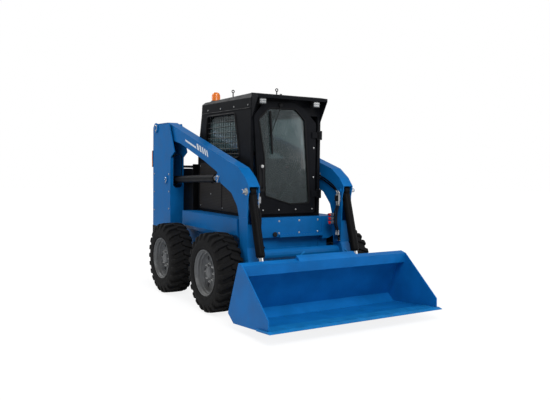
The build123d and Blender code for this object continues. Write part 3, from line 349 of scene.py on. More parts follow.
def add_bolt(bm, place, way, size=0.011, tall=0.008):
    """A hexagon bolt head on a washer."""
    way = Vector(way).normalized()
    place = Vector(place)
    add_turned(bm, place, way, [(0, size * 1.25), (tall * 0.25, size * 1.25)], 20)
    add_turned(bm, place + way * tall * 0.25, way,
        [(0, size), (tall * 0.6, size), (tall * 0.75, size * 0.85)], 6)


def bolts(name, body, places, way, size=0.011, tall=0.008, mat="zinc"):
    """A group of bolt heads as one piece."""
    bm = bmesh.new()
    for place in places:
        add_bolt(bm, place, way, size, tall)
    return finish_piece(name, bm, body, mat)


def add_bar_path(bm, points, radius, segments=10, closed=False):
    """A round bar that follows points, mitred at each."""
    points = [Vector(p) for p in points]
    n = len(points)
    rings = []
    up = None
    for i, p in enumerate(points):
        before = points[i - 1] if (i or closed) else None
        after = points[(i + 1) % n] if (i < n - 1 or closed) else None
        a = (p - before).normalized() if before is not None else None
        b = (after - p).normalized() if after is not None else None
        tangent = (a + b).normalized() if a is not None and b is not None else (a or b)
        if up is None:
            up = frame_of(tangent)[1]
        up = (up - tangent * up.dot(tangent)).normalized()
        side = tangent.cross(up)
        rings.append([bm.verts.new(p + (up * math.cos(t) + side * math.sin(t)) * radius)
            for t in turns(segments)])
    pairs = list(zip(rings, rings[1:])) + ([(rings[-1], rings[0])] if closed else [])
    for a, b in pairs:
        for k in range(segments):
            m = (k + 1) % segments
            bm.faces.new((a[k], a[m], b[m], b[k]))
    if not closed:
        bm.faces.new(rings[0])
        bm.faces.new(rings[-1][::-1])


def rounded(points, radius, steps=6):
    """A closed outline in a plane with each corner rounded."""
    out = []
    n = len(points)
    for i in range(n):
        p, a, b = Vector(points[i]), Vector(points[i - 1]), Vector(points[(i + 1) % n])
        u, v = (a - p).normalized(), (b - p).normalized()
        angle = u.angle(v)
        cut = min(radius / math.tan(angle / 2), (a - p).length * 0.45, (b - p).length * 0.45)
        start, end = p + u * cut, p + v * cut
        for k in range(steps + 1):
            t = k / steps
            out.append((start * (1 - t) + p * t) * (1 - t) + (p * (1 - t) + end * t) * t)
    return out


def add_loop(bm, corners, corner, radius):
    """A closed round bar along an outline with rounded corners."""
    add_bar_path(bm, rounded(corners, corner), radius, 8, closed=True)


def piece(name, body, mat, build, bevel=0.0, smooth=32.0):
    """A piece whose mesh comes from a building function."""
    bm = bmesh.new()
    build(bm)
    return finish_piece(name, bm, body, mat, bevel, smooth)


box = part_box


# --- wheels
LUGS = 24
LUG_LEAN = math.radians(19)
SHOULDER_X = 0.112
TYRE_STEPS = 120
RIM_STEPS = 96
RIM_HOLES = 6
RIM_HOLE_CIRCLE = 0.150
RIM_HOLE_R = 0.022
NUTS = 8
NUT_CIRCLE = 0.086


def tyre_profile(half, top):
    """Half of the carcass section: (distance from the middle, radius), from the crown to the bead."""
    return [(half * a, top - b) for a, b in ((0.0, 0.021), (0.62, 0.023), (0.80, 0.031), (0.92, 0.052),
        (0.985, 0.080), (0.998, 0.100), (0.985, 0.112), (0.99, 0.118), (0.975, 0.124), (0.965, 0.136),
        (0.98, 0.141), (0.955, 0.147), (0.90, 0.158), (0.86, 0.168))]


def make_tyre(end, name):
    """Round carcass with slanting lugs in place of the CAD tyre."""
    node = f"tyre_{end}_{name}"
    body = f"wheel_{end}_{name}"
    lo, hi = box(node)
    centre = (lo + hi) / 2
    half = (hi.x - lo.x) / 2 - 0.0005
    top = (hi.z - lo.z) / 2 - 0.0005
    bead = box(f"rim_{end}_{name}")
    seat = (bead[1].z - bead[0].z) / 2 - 0.012
    bm = bmesh.new()
    side = tyre_profile(half, top)
    outline = side + [(half * 0.80, seat), (-half * 0.80, seat)] + [(-a, r) for a, r in side[:0:-1]]
    add_lathe(bm, centre, X, outline, TYRE_STEPS, ring=True)
    for way, shift in ((1, 0.0), (-1, 0.5)):
        for k in range(LUGS):
            base = (k + shift) * 2 * math.pi / LUGS
            stations = [(-0.012, top, 0.018), (0.02, top, 0.020), (0.06, top - 0.0005, 0.021),
                (0.095, top - 0.002, 0.0225), (SHOULDER_X, top - 0.007, 0.0235),
                (half - 0.009, top - 0.022, 0.024), (half - 0.002, top - 0.042, 0.0235),
                (half - 0.0008, top - 0.062, 0.021), (half - 0.004, top - 0.074, 0.018)]
            rings = []
            for a, r, w in stations:
                lean = math.tan(LUG_LEAN) * min(a, SHOULDER_X) / top
                inward = 0.030 if a < half - 0.012 else 0.0
                sunk = (a - (0.022 if a > half - 0.012 else 0.0), r - inward)
                ring = []
                for t, up in ((-w * 1.22, 0), (-w, 0.8), (-w + 0.004, 1), (w - 0.004, 1), (w, 0.8),
                        (w * 1.22, 0)):
                    angle = base + lean + t / top
                    aa = sunk[0] + (a - sunk[0]) * up
                    rr = sunk[1] + (r - sunk[1]) * up
                    ring.append(bm.verts.new(centre
                        + Vector((way * aa, -rr * math.sin(angle), rr * math.cos(angle)))))
                rings.append(ring)
            for a, b in zip(rings, rings[1:]):
                for i in range(6):
                    j = (i + 1) % 6
                    bm.faces.new((a[i], a[j], b[j], b[i]))
            bm.faces.new(rings[0])
            bm.faces.new(rings[-1][::-1])
    made = finish_piece(f"tread_{end}_{name}", bm, body, "tyre_rubber", smooth=38)
    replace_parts(made, node)


def make_rim(end, name, way):
    """Dished rim with windows, wheel nuts and valve in place of the CAD rim."""
    node = f"rim_{end}_{name}"
    body = f"wheel_{end}_{name}"
    lo, hi = box(node)
    t_lo, t_hi = box(f"tyre_{end}_{name}")
    centre = Vector((0, (lo.y + hi.y) / 2, (lo.z + hi.z) / 2))
    top = (hi.z - lo.z) / 2 - 0.0003
    outer = t_hi.x if way > 0 else t_lo.x
    wide = t_hi.x - t_lo.x
    origin = centre + X * (outer - way * 0.0085)
    inward = X * -way
    shaft = abs((lo.x if way > 0 else hi.x) - origin.x)
    profile = [(0.000, top - 0.004), (0.0015, top - 0.0008), (0.005, top), (0.010, top - 0.003),
        (0.019, top - 0.013), (0.060, top - 0.014), (wide - 0.037, top - 0.013),
        (wide - 0.027, top - 0.003), (wide - 0.022, top), (wide - 0.017, top), (wide - 0.017, top - 0.005),
        (wide - 0.032, top - 0.020), (0.115, top - 0.022), (0.105, 0.175), (0.100, 0.110), (0.112, 0.095),
        (0.126, 0.088), (0.130, 0.036), (shaft, 0.036), (shaft, 0.0)]
    front = [(0.040, 0.0), (0.040, 0.040), (0.043, 0.050), (0.050, 0.057), (0.068, 0.062), (0.071, 0.072),
        (0.076, 0.100), (0.082, 0.108), (0.087, 0.122), (0.085, 0.150), (0.083, 0.172), (0.088, 0.184),
        (0.078, 0.190), (0.058, 0.193), (0.052, 0.200), (0.030, 0.202), (0.024, 0.207), (0.012, 0.211),
        (0.003, top - 0.009), (0.0, top - 0.006)]
    bm = bmesh.new()
    add_lathe(bm, origin, inward, front + profile, RIM_STEPS)
    made = finish_piece(f"wheel_disc_{end}_{name}", bm, body, "rim_paint", smooth=30)
    cutter_bm = bmesh.new()
    for angle in turns(RIM_HOLES):
        angle += math.pi / RIM_HOLES
        spot = origin + Vector((0, math.sin(angle), math.cos(angle))) * RIM_HOLE_CIRCLE
        add_turned(cutter_bm, spot + inward * 0.06, inward, [(0, RIM_HOLE_R), (0.06, RIM_HOLE_R)], 28)
    cutter = add_object("cutter", mesh_of("cutter", cutter_bm))
    mod = made.modifiers.new("holes", "BOOLEAN")
    mod.object = cutter
    mod.solver = "EXACT"
    bake(made)
    made.data.set_sharp_from_angle(angle=math.radians(30))
    bpy.data.objects.remove(cutter)
    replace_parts(made, node)
    nuts = bmesh.new()
    for angle in turns(NUTS):
        spot = origin + inward * 0.074 + Vector((0, math.sin(angle), math.cos(angle))) * NUT_CIRCLE
        add_turned(nuts, spot, -inward, [(0, 0.013), (0.012, 0.013), (0.016, 0.010)], 6)
        add_turned(nuts, spot, -inward, [(0, 0.007), (0.024, 0.007), (0.025, 0.005)], 12)
    add_rod(nuts, origin + inward * 0.05 + Z * 0.199, origin + inward * 0.015 + Z * 0.189, 0.004, 12)
    finish_piece(f"wheel_nuts_{end}_{name}", nuts, body, "zinc")


for end in ENDS:
    for name, way in SIDES:
        make_tyre(end, name)
        make_rim(end, name, way)


# --- softened CAD edges
for node, width in (("main_frame", 0.004), ("rear_towers", 0.003), ("rear_bumper", 0.006),
        ("engine_cowl", 0.002), ("hood", 0.003), ("rear_door", 0.004), ("cab_frame", 0.006),
        ("cab_roof", 0.008), ("door_frame", 0.004), ("boom_arm_left", 0.003), ("boom_arm_right", 0.003),
        ("bucket_shell", 0.002), ("cutting_edge", 0.0015), ("coupler", 0.002), ("operator_controls", 0.008),
        ("lamps", 0.005), ("seat_base", 0.008), ("axle_housings", 0.003), ("boom_fittings", 0.0015)):
    add_bevel(NODES[node], width)


# --- hydraulic cylinders
ROD_R = {"lift": 0.0217, "tilt": 0.0237}
BARREL_LONG = {"lift": 1.130, "tilt": 0.625}
ROD_START = {"lift": 0.094, "tilt": 0.265}
BORE_END = {"lift": 0.074, "tilt": 0.100}


def make_cylinder(kind, name):
    """Round barrel, gland, ports and chromed rod in place of the CAD's many-sided ones."""
    barrel, rod = f"{kind}_{name}_barrel", f"{kind}_{name}_rod"
    pivot = Vector(JOINTS[f"{kind}_pivot_{name}"]["pos_m"])
    axis = Vector(JOINTS[f"{kind}_stroke_{name}"]["axis"]).normalized()
    r_lo, r_hi = box(rod)
    half = (r_hi.x - r_lo.x) / 2
    b_lo, b_hi = box(barrel)
    barrel_r = ((b_hi.x - b_lo.x) / 2) * 0.985
    rod_r = ROD_R[kind]
    eye_r = rod_r + 0.0155
    mouth = BARREL_LONG[kind]
    far = {"lift": (r_lo.y + eye_r, (r_lo.z + r_hi.z) / 2), "tilt": (r_lo.y + eye_r, r_lo.z + eye_r)}[kind]
    pin = pivot + axis * (Vector((pivot.x, *far)) - pivot).dot(axis)
    start = ROD_START[kind]
    bore_end = BORE_END[kind]
    body = f"{kind}_barrel_{name}"
    bm = bmesh.new()
    add_lathe(bm, pivot, axis, [(0.026, 0.0), (0.026, barrel_r * 0.7), (0.044, barrel_r),
        (mouth - 0.052, barrel_r), (mouth - 0.050, barrel_r + 0.0004), (mouth - 0.014, barrel_r + 0.0004),
        (mouth - 0.010, barrel_r - 0.004), (mouth - 0.001, barrel_r - 0.005), (mouth, rod_r + 0.004),
        (mouth, rod_r + 0.0003), (bore_end, rod_r + 0.0003), (bore_end, 0.0)], 48)
    add_lathe(bm, pivot - X * half, X, [(0, 0.0195), (0, barrel_r - 0.002), (0.002, barrel_r),
        (2 * half - 0.002, barrel_r), (2 * half, barrel_r - 0.002), (2 * half, 0.0195)], 48, ring=True)
    out = Vector((0, axis.z, -axis.y))
    out = -out if out.z > 0 else out
    if kind == "tilt":
        out = Vector((1 if pivot.x < 0 else -1, 0, 0))
    for s in (0.085, mouth - 0.095):
        port = pivot + axis * s + out * (barrel_r - 0.004)
        add_turned(bm, port, out, [(0, 0.013), (0.012, 0.013), (0.013, 0.009), (0.016, 0.009)], 6)
    made = finish_piece(f"{kind}_tube_{name}", bm, body, "black_paint")
    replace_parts(made, barrel)
    bm = bmesh.new()
    add_lathe(bm, pivot, axis, [(mouth - 0.034, rod_r + 0.001), (mouth + 0.001, rod_r + 0.001),
        (mouth + 0.001, rod_r + 0.007), (mouth - 0.003, rod_r + 0.009), (mouth - 0.034, rod_r + 0.009)], 48,
        ring=True)
    finish_piece(f"{kind}_gland_{name}", bm, body, "zinc")
    bm = bmesh.new()
    end = (pin - pivot).dot(axis)
    add_rod(bm, pivot + axis * start, pivot + axis * (end - eye_r * 0.6), rod_r, 48)
    made = finish_piece(f"{kind}_piston_rod_{name}", bm, f"{kind}_rod_{name}", "chrome_rod")
    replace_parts(made, rod)
    bm = bmesh.new()
    add_turned(bm, pin - X * half, X, [(0, eye_r - 0.002), (0.002, eye_r), (2 * half - 0.002, eye_r),
        (2 * half, eye_r - 0.002)], 48)
    add_turned(bm, pin, -axis, [(0, rod_r + 0.006), (eye_r + 0.018, rod_r + 0.006),
        (eye_r + 0.022, rod_r + 0.001)], 36)
    finish_piece(f"{kind}_rod_eye_{name}", bm, f"{kind}_rod_{name}", "black_paint")
    return pivot, pin


CYLINDERS = {(kind, name): make_cylinder(kind, name) for kind in ("lift", "tilt") for name, _ in SIDES}

# --- boom
PIVOT = Vector(JOINTS["boom_lift"]["pos_m"])
COUPLER_PIN = Vector(JOINTS["bucket_tilt"]["pos_m"])
ARM = {name: box(f"boom_arm_{name}") for name, _ in SIDES}
ARM_OUT = 0.606
ARM_IN = 0.488
STRIPES = ((0.0, 0.30), (0.33, 0.045), (0.40, 0.04), (0.465, 0.035), (0.525, 0.03), (0.58, 0.025))


def pin_cap(bm, place, way, radius, tall=0.012):
    """Round cap over a pin's end with a small grease nipple."""
    add_turned(bm, place, way, [(0, radius - 0.001), (0.001, radius), (tall - 0.003, radius),
        (tall, radius - 0.004), (tall, 0.006), (tall + 0.006, 0.005), (tall + 0.008, 0.003)], 32)


for name, way in SIDES:
    knee = CYLINDERS["tilt", name][0]
    lift_pin = CYLINDERS["lift", name][1]
    tip = ARM[name][1].x if way > 0 else -ARM[name][0].x
    bm = bmesh.new()
    add_rod(bm, Vector((way * ARM_OUT, knee.y, knee.z)), Vector((way * (tip - 0.004), knee.y, knee.z)),
        0.0205, 32, 0.003)
    add_turned(bm, Vector((way * ARM_OUT, knee.y, knee.z)), X * way, [(0, 0.034), (0.006, 0.034)], 32)
    finish_piece(f"knee_pin_{name}", bm, "boom", "zinc")
    bm = bmesh.new()
    pin_cap(bm, Vector((way * ARM_OUT, lift_pin.y, lift_pin.z)), X * way, 0.026, 0.010)
    for k in range(3):
        angle = k * 2 * math.pi / 3 + 0.5
        add_bolt(bm, Vector((way * ARM_OUT, lift_pin.y + 0.037 * math.cos(angle),
            lift_pin.z + 0.037 * math.sin(angle))), X * way, 0.006, 0.006)
    finish_piece(f"lift_pin_cap_{name}", bm, "boom", "zinc")
    bm = bmesh.new()
    pin_cap(bm, Vector((way * ARM_OUT, COUPLER_PIN.y, COUPLER_PIN.z)), X * way, 0.030, 0.004)
    finish_piece(f"hinge_pin_cap_{name}", bm, "boom", "zinc")

    def stripes(bm):
        start = Vector((0, 0.72, 1.672))
        along = Vector((0, -1, -0.312)).normalized()
        for k, (gap, wide) in enumerate(STRIPES):
            a = start + along * gap
            b = start + along * (gap + wide)
            lift = Vector((0, 0.030, 0.080)) * (0.28 if k == 0 else 0.85)
            x = X * way * (ARM_OUT + 0.0003)
            add_slab(bm, [x + a, x + b, x + b + lift, x + a + lift], X * way * 0.0004)
    piece(f"arm_stripes_{name}", "boom", "white_stripe", stripes)

    def overlay(bm):
        x = X * way * ARM_OUT
        pts = at_x(0, ((-0.700, 0.930), (-0.585, 0.930), (-0.610, 0.640), (-0.760, 0.250), (-0.815, 0.262),
            (-0.700, 0.620)))
        add_slab(bm, [x + p for p in rounded(pts, 0.03)], X * way * 0.005)
    piece(f"leg_doubler_{name}", "boom", "blue_paint", overlay, 0.0015)

# --- cab
CAB_HI = box("cab_frame")[1]
GLASS_LO = box("door_glass")[0]
ROOF_HI = box("cab_roof")[1]
DOOR_FACE = GLASS_LO.y - 0.010
SIDE_WINDOW = [(-0.185, 1.490), (-0.075, 1.940), (0.560, 1.940), (0.640, 1.490)]
SIDE_GRILLE = ((-0.330, 0.930), (-0.330, 1.330), (0.60, 1.44), (0.755, 1.44), (0.755, 0.930))
WIRE_R = 0.003
REAR_WIRE_R = 0.0028
WIRE_PITCH_Y = 0.052
WIRE_PITCH_Z = 0.056
ROOF_BOLT_Z = 2.005
ROOF_BOLT_Y = (-0.34, -0.05, 0.25, 0.55)
GUTTER_Z = 1.972
LAMP_FACE = -0.498
DOOR_PANE = [(-0.264, 1.115), (0.040, 1.025), (0.264, 1.035), (0.197, 1.874), (0.077, 1.985),
    (-0.228, 1.977), (-0.346, 1.864), (-0.278, 1.500)]


def edge_at(a, b, value, by):
    """Where the line through two points is, at a value of one of its two coordinates."""
    t = (value - a[by]) / (b[by] - a[by])
    return a[1 - by] + (b[1 - by] - a[1 - by]) * t


def side_screen(bm, x):
    """Upright and level wires across a side window's opening."""
    foot, top = SIDE_WINDOW[0][1], SIDE_WINDOW[1][1]
    front, rear = (SIDE_WINDOW[0], SIDE_WINDOW[1]), (SIDE_WINDOW[3], SIDE_WINDOW[2])
    y = front[0][0] + 0.03
    while y < rear[0][0] - 0.02:
        high = top
        if y < front[1][0]:
            high = edge_at(*front, y, 0)
        if y > rear[1][0]:
            high = edge_at(*rear, y, 0)
        add_bar_path(bm, [(x, y, foot - 0.01), (x, y, high + 0.01)], WIRE_R, 6)
        y += WIRE_PITCH_Y
    z = foot + 0.04
    while z < top - 0.02:
        ends = (edge_at(*front, z, 1) - 0.01, edge_at(*rear, z, 1) + 0.01)
        add_bar_path(bm, [(x - 2 * WIRE_R, y, z) for y in ends], WIRE_R, 6)
        z += WIRE_PITCH_Z


for name, way in SIDES:
    piece(f"side_screen_{name}", "chassis", "wire_screen",
        lambda bm: side_screen(bm, way * (CAB_HI.x - 0.016)))

    piece(f"side_window_seal_{name}", "chassis", "rubber_seal",
        lambda bm: add_loop(bm, at_x(way * (CAB_HI.x + 0.001), SIDE_WINDOW), 0.045, 0.009), smooth=50)

    piece(f"side_grille_{name}", "chassis", "perforated", lambda bm: add_slab(bm,
        rounded(at_x(way * CAB_HI.x, SIDE_GRILLE), 0.04), X * way * 0.003))

    def grille_rim(bm):
        x = way * (CAB_HI.x + 0.002)
        pts = at_x(x, SIDE_GRILLE)
        add_loop(bm, pts, 0.04, 0.006)
        add_bar_path(bm, [(x, 0.20, 0.932), (x, 0.20, 1.39)], 0.005, 8)
    piece(f"side_grille_rim_{name}", "chassis", "black_paint", grille_rim, smooth=50)
    bolts(f"side_grille_bolts_{name}", "chassis", [(way * (CAB_HI.x + 0.002), y, z)
        for y, z in ((-0.30, 0.96), (0.18, 0.96), (0.72, 0.96), (-0.30, 1.29), (0.18, 1.36), (0.72, 1.40),
        (-0.08, 1.14), (0.46, 1.10))], X * way, 0.007, 0.006)


def rear_frame_at(y_share, x):
    """A point on the cab's slanting rear wall, this share of the way up from the waist to the eaves."""
    low, high = Vector((x, CAB_HI.y, 1.560)), Vector((x, 0.712, CAB_HI.z))
    return low + (high - low) * y_share


def rear_screen(bm):
    """Upright and level wires across the rear window."""
    for k in range(13):
        x = -0.27 + k * 0.045
        add_bar_path(bm, [rear_frame_at(0.03, x) - Y * 0.016, rear_frame_at(0.87, x) - Y * 0.016],
            REAR_WIRE_R, 6)
    for k in range(8):
        share = 0.08 + k * 0.108
        add_bar_path(bm, [rear_frame_at(share, -0.292) - Y * 0.011,
            rear_frame_at(share, 0.292) - Y * 0.011], REAR_WIRE_R, 6)


piece("rear_screen", "chassis", "wire_screen", rear_screen)
piece("rear_window_seal", "chassis", "rubber_seal", lambda bm: add_loop(bm,
    [rear_frame_at(t, x) + Y * 0.001
    for t, x in ((0.05, -0.29), (0.05, 0.29), (0.864, 0.29), (0.864, -0.29))], 0.045, 0.008), smooth=50)


piece("door_pane_seal", "cab_door", "rubber_seal",
    lambda bm: add_loop(bm, at_y(DOOR_FACE + 0.001, DOOR_PANE), 0.030, 0.009), smooth=50)


def door_gap_seal(bm):
    """Soft seal round the door's outer edge, against the cab."""
    pts = at_y(DOOR_FACE + 0.0285, ((-0.322, 0.945), (0.325, 0.945), (0.325, 1.845), (0.183, 1.981),
        (0.058, 2.034), (-0.281, 2.030), (-0.387, 1.890)))
    add_loop(bm, pts, 0.03, 0.0048)


piece("door_edge_seal", "cab_door", "rubber_seal", door_gap_seal, smooth=50)


def door_handle(bm):
    """Recessed plate with an upright pull handle."""
    at = Vector((-0.296, DOOR_FACE, 1.28))
    pts = [at + Vector((x, 0, z))
        for x, z in ((-0.034, -0.12), (0.030, -0.12), (0.020, 0.14), (-0.040, 0.14))]
    add_slab(bm, rounded(pts, 0.018), -Y * 0.004)
    add_bar_path(bm, [at + Vector((-0.006, -0.002, -0.09)), at + Vector((-0.006, -0.03, -0.075)),
        at + Vector((-0.008, -0.034, -0.02)), at + Vector((-0.010, -0.034, 0.04)),
        at + Vector((-0.012, -0.03, 0.09)), at + Vector((-0.012, -0.002, 0.105))], 0.009, 12)


piece("door_handle", "cab_door", "control_plastic", door_handle, 0.001, smooth=45)
piece("door_lock", "cab_door", "zinc", lambda bm: add_turned(bm, (-0.300, DOOR_FACE - 0.004, 1.405), -Y,
    [(0, 0.016), (0.004, 0.015), (0.006, 0.010)], 32))


def wiper(bm):
    """Wiper motor cover, arm and blade."""
    hub = Vector((-0.10, DOOR_FACE, 2.012))
    add_turned(bm, hub, -Y, [(0, 0.022), (0.014, 0.020), (0.020, 0.012)], 24)
    tip = Vector((-0.205, DOOR_FACE - 0.012, 1.735))
    add_bar_path(bm, [hub - Y * 0.014, hub + Vector((-0.02, -0.020, -0.05)),
        tip + Vector((0.004, -0.008, 0.02)), tip], 0.0045, 8)
    add_slab(bm, [tip + Vector((x, 0.0, z)) for x, z in ((-0.020, 0.21), (-0.006, 0.212), (0.022, -0.208),
        (0.008, -0.21))], Y * 0.014)


piece("wiper", "cab_door", "rubber_seal", wiper, smooth=40)


def gas_strut(bm):
    a, b = Vector((-0.060, DOOR_FACE + 0.036, 1.085)), Vector((0.150, DOOR_FACE + 0.036, 1.345))
    add_rod(bm, a, a + (b - a) * 0.62, 0.010, 24)
    add_rod(bm, a + (b - a) * 0.6, b, 0.0045, 16)
    for p in (a, b):
        add_turned(bm, p - Y * 0.010, Y, [(0, 0.011), (0.004, 0.013), (0.016, 0.013), (0.020, 0.010)], 16)


piece("door_strut", "cab_door", "black_paint", gas_strut)
bolts("door_bolts", "cab_door", [(x, DOOR_FACE, z) for x, z in ((-0.285, 0.975), (-0.10, 0.975),
    (0.10, 0.975), (0.30, 0.975), (0.312, 1.30), (0.312, 1.60))], -Y, 0.006, 0.005)


def roof_trim(bm):
    """Raised seams along the roof's edges and one shallow rib across it."""
    for way in (1, -1):
        x = way * (ROOF_HI.x - 0.075)
        add_bar_path(bm, [(x, -0.30, 2.1205), (x, 0.58, 2.1023)], 0.004, 8)
    add_bar_path(bm, [(-0.34, 0.45, 2.1052), (0.34, 0.45, 2.1052)], 0.004, 8)


piece("roof_ribs", "chassis", "charcoal_paint", roof_trim)


def gutter(bm):
    for way in (1, -1):
        x = way * (ROOF_HI.x + 0.001)
        add_bar_path(bm, [(x, -0.385, GUTTER_Z), (x, 0.700, GUTTER_Z)], 0.006, 8)


piece("roof_gutters", "chassis", "rubber_seal", gutter)
for label, way in (("roof_bolts", 1), ("roof_bolts_right", -1)):
    bolts(label, "chassis", [(way * ROOF_HI.x, y, ROOF_BOLT_Z) for y in ROOF_BOLT_Y], X * way, 0.007, 0.005)


LAMPS_HI = box("lamps")[1]


def work_lamp(bm, x0, x1):
    add_slab(bm, rounded(at_y(LAMP_FACE, ((x0 + 0.006, 2.012), (x1 - 0.006, 2.012), (x1 - 0.006, 2.060),
        (x0 + 0.006, 2.060))), 0.008), -Y * 0.003)


def lamp_cells(bm, x0, x1):
    y = LAMP_FACE - 0.003
    for i in range(4):
        for j in range(2):
            add_lathe(bm, (x0 + 0.016 + i * (x1 - x0 - 0.032) / 3, y, 2.026 + j * 0.022), -Y,
                [(0, 0), (0, 0.0075), (0.002, 0.006), (0.003, 0.0)], 16)


for label, x0, x1 in (("left", 0.250, 0.330), ("right", -0.380, -0.300)):
    piece(f"work_lamp_lens_{label}", "chassis", "clear_lens", lambda bm: work_lamp(bm, x0, x1))
    piece(f"work_lamp_cells_{label}", "chassis", "zinc", lambda bm: lamp_cells(bm, x0, x1))
for name, way in SIDES:
    x0, x1 = sorted((way * 0.549, way * 0.6405))
    rear = LAMPS_HI.y - 0.0004
    for label, mat, z0, z1 in (("stop", "red_lens", 1.468, 1.574), ("turn", "amber_lens", 1.388, 1.462)):
        piece(f"{label}_lens_{name}", "chassis", mat,
            lambda bm: add_block(bm, (x0, rear - 0.018, z0), (x1, rear, z1)), 0.004)
    bolts(f"tail_lamp_screws_{name}", "chassis",
        [((x0 + x1) / 2, rear - 0.0005, z) for z in (1.383, 1.577)], Y * 0.2, 0.003, 0.0008)


def beacon(bm):
    lo, hi = box("beacon")
    mid = (lo + hi) / 2
    r = (hi.x - lo.x) / 2 - 0.001
    tall = hi.z - lo.z
    profile = [(0.016, r * 0.82), (tall * 0.30, r * 0.82), (tall * 0.32, r * 0.79), (tall * 0.74, r * 0.76),
        (tall * 0.90, r * 0.66), (tall * 0.97, r * 0.45), (tall, r * 0.18)]
    add_turned(bm, (mid.x, mid.y, lo.z), Z, profile)
    for t in turns(16):
        u = Vector((math.cos(t), math.sin(t), 0))
        add_bar_path(bm, [Vector((mid.x, mid.y, lo.z + tall * 0.36)) + u * r * 0.79,
            Vector((mid.x, mid.y, lo.z + tall * 0.72)) + u * r * 0.765], 0.0022, 6)


def beacon_base(bm):
    lo, hi = box("beacon")
    mid = (lo + hi) / 2
    r = (hi.x - lo.x) / 2
    add_turned(bm, (mid.x, mid.y, lo.z), Z, [(0, r), (0.006, r), (0.012, r * 0.93), (0.018, r * 0.88)], 48)


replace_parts(piece("beacon_dome", "chassis", "beacon_orange", beacon, smooth=40), "beacon")
piece("beacon_foot", "chassis", "control_plastic", beacon_base)


def lifting_eyes(bm):
    lo, hi = box("lifting_eyes")
    for x, y in ((lo.x + 0.018, hi.y - 0.004), (hi.x - 0.018, hi.y - 0.004), (0.0, lo.y + 0.006)):
        foot = 2.1225 - (y + 0.37) * 0.0213 if y > 0 else 2.1190
        ring = Vector((x, y, hi.z - 0.019))
        pts = [ring + Vector((math.cos(t) * 0.0135, 0, math.sin(t) * 0.0135)) for t in turns(24)]
        add_bar_path(bm, pts, 0.0048, 10, closed=True)
        add_rod(bm, (x, y, foot), (x, y, hi.z - 0.034), 0.0062, 16)
        add_turned(bm, (x, y, foot), Z, [(0, 0.015), (0.004, 0.015), (0.007, 0.010)], 6)


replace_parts(piece("lifting_eye_bolts", "chassis", "black_paint", lifting_eyes, smooth=50), "lifting_eyes")

for z in (1.130, 1.730):
    for label, body, runs in (("leaf", "cab_door", ((z - 0.0296, z + 0.0296),)), ("post", "chassis",
            ((z - 0.0455, z - 0.0308), (z + 0.0308, z + 0.0455)))):
        bm = bmesh.new()
        for a, b in runs:
            add_turned(bm, (0.353, -0.438, a), Z, [(0, 0.0096), (0.001, 0.0104), (b - a - 0.001, 0.0104),
                (b - a, 0.0096)], 28)
        finish_piece(f"door_hinge_{label}_{int(z * 100)}", bm, body, "black_paint")


# --- hoses, pipes and couplers
def line(name, body, points, radius, mat, sides=5):
    """A smooth pipe or hose along a NURBS line through its control points."""
    data = bpy.data.curves.new(name, "CURVE")
    data.dimensions = "3D"
    data.resolution_u = 8
    data.bevel_depth = radius
    data.bevel_resolution = sides
    data.use_fill_caps = True
    spline = data.splines.new("NURBS")
    spline.points.add(len(points) - 1)
    for p, q in zip(spline.points, points):
        p.co = (*q, 1)
    spline.order_u = 3
    spline.use_endpoint_u = True
    curve = add_object(name, data)
    bpy.context.view_layer.update()
    mesh = bpy.data.meshes.new_from_object(curve.evaluated_get(bpy.context.evaluated_depsgraph_get()))
    bpy.data.objects.remove(curve)
    mesh.name = name
    return dress(add_object(name, mesh), body, mat, 50)


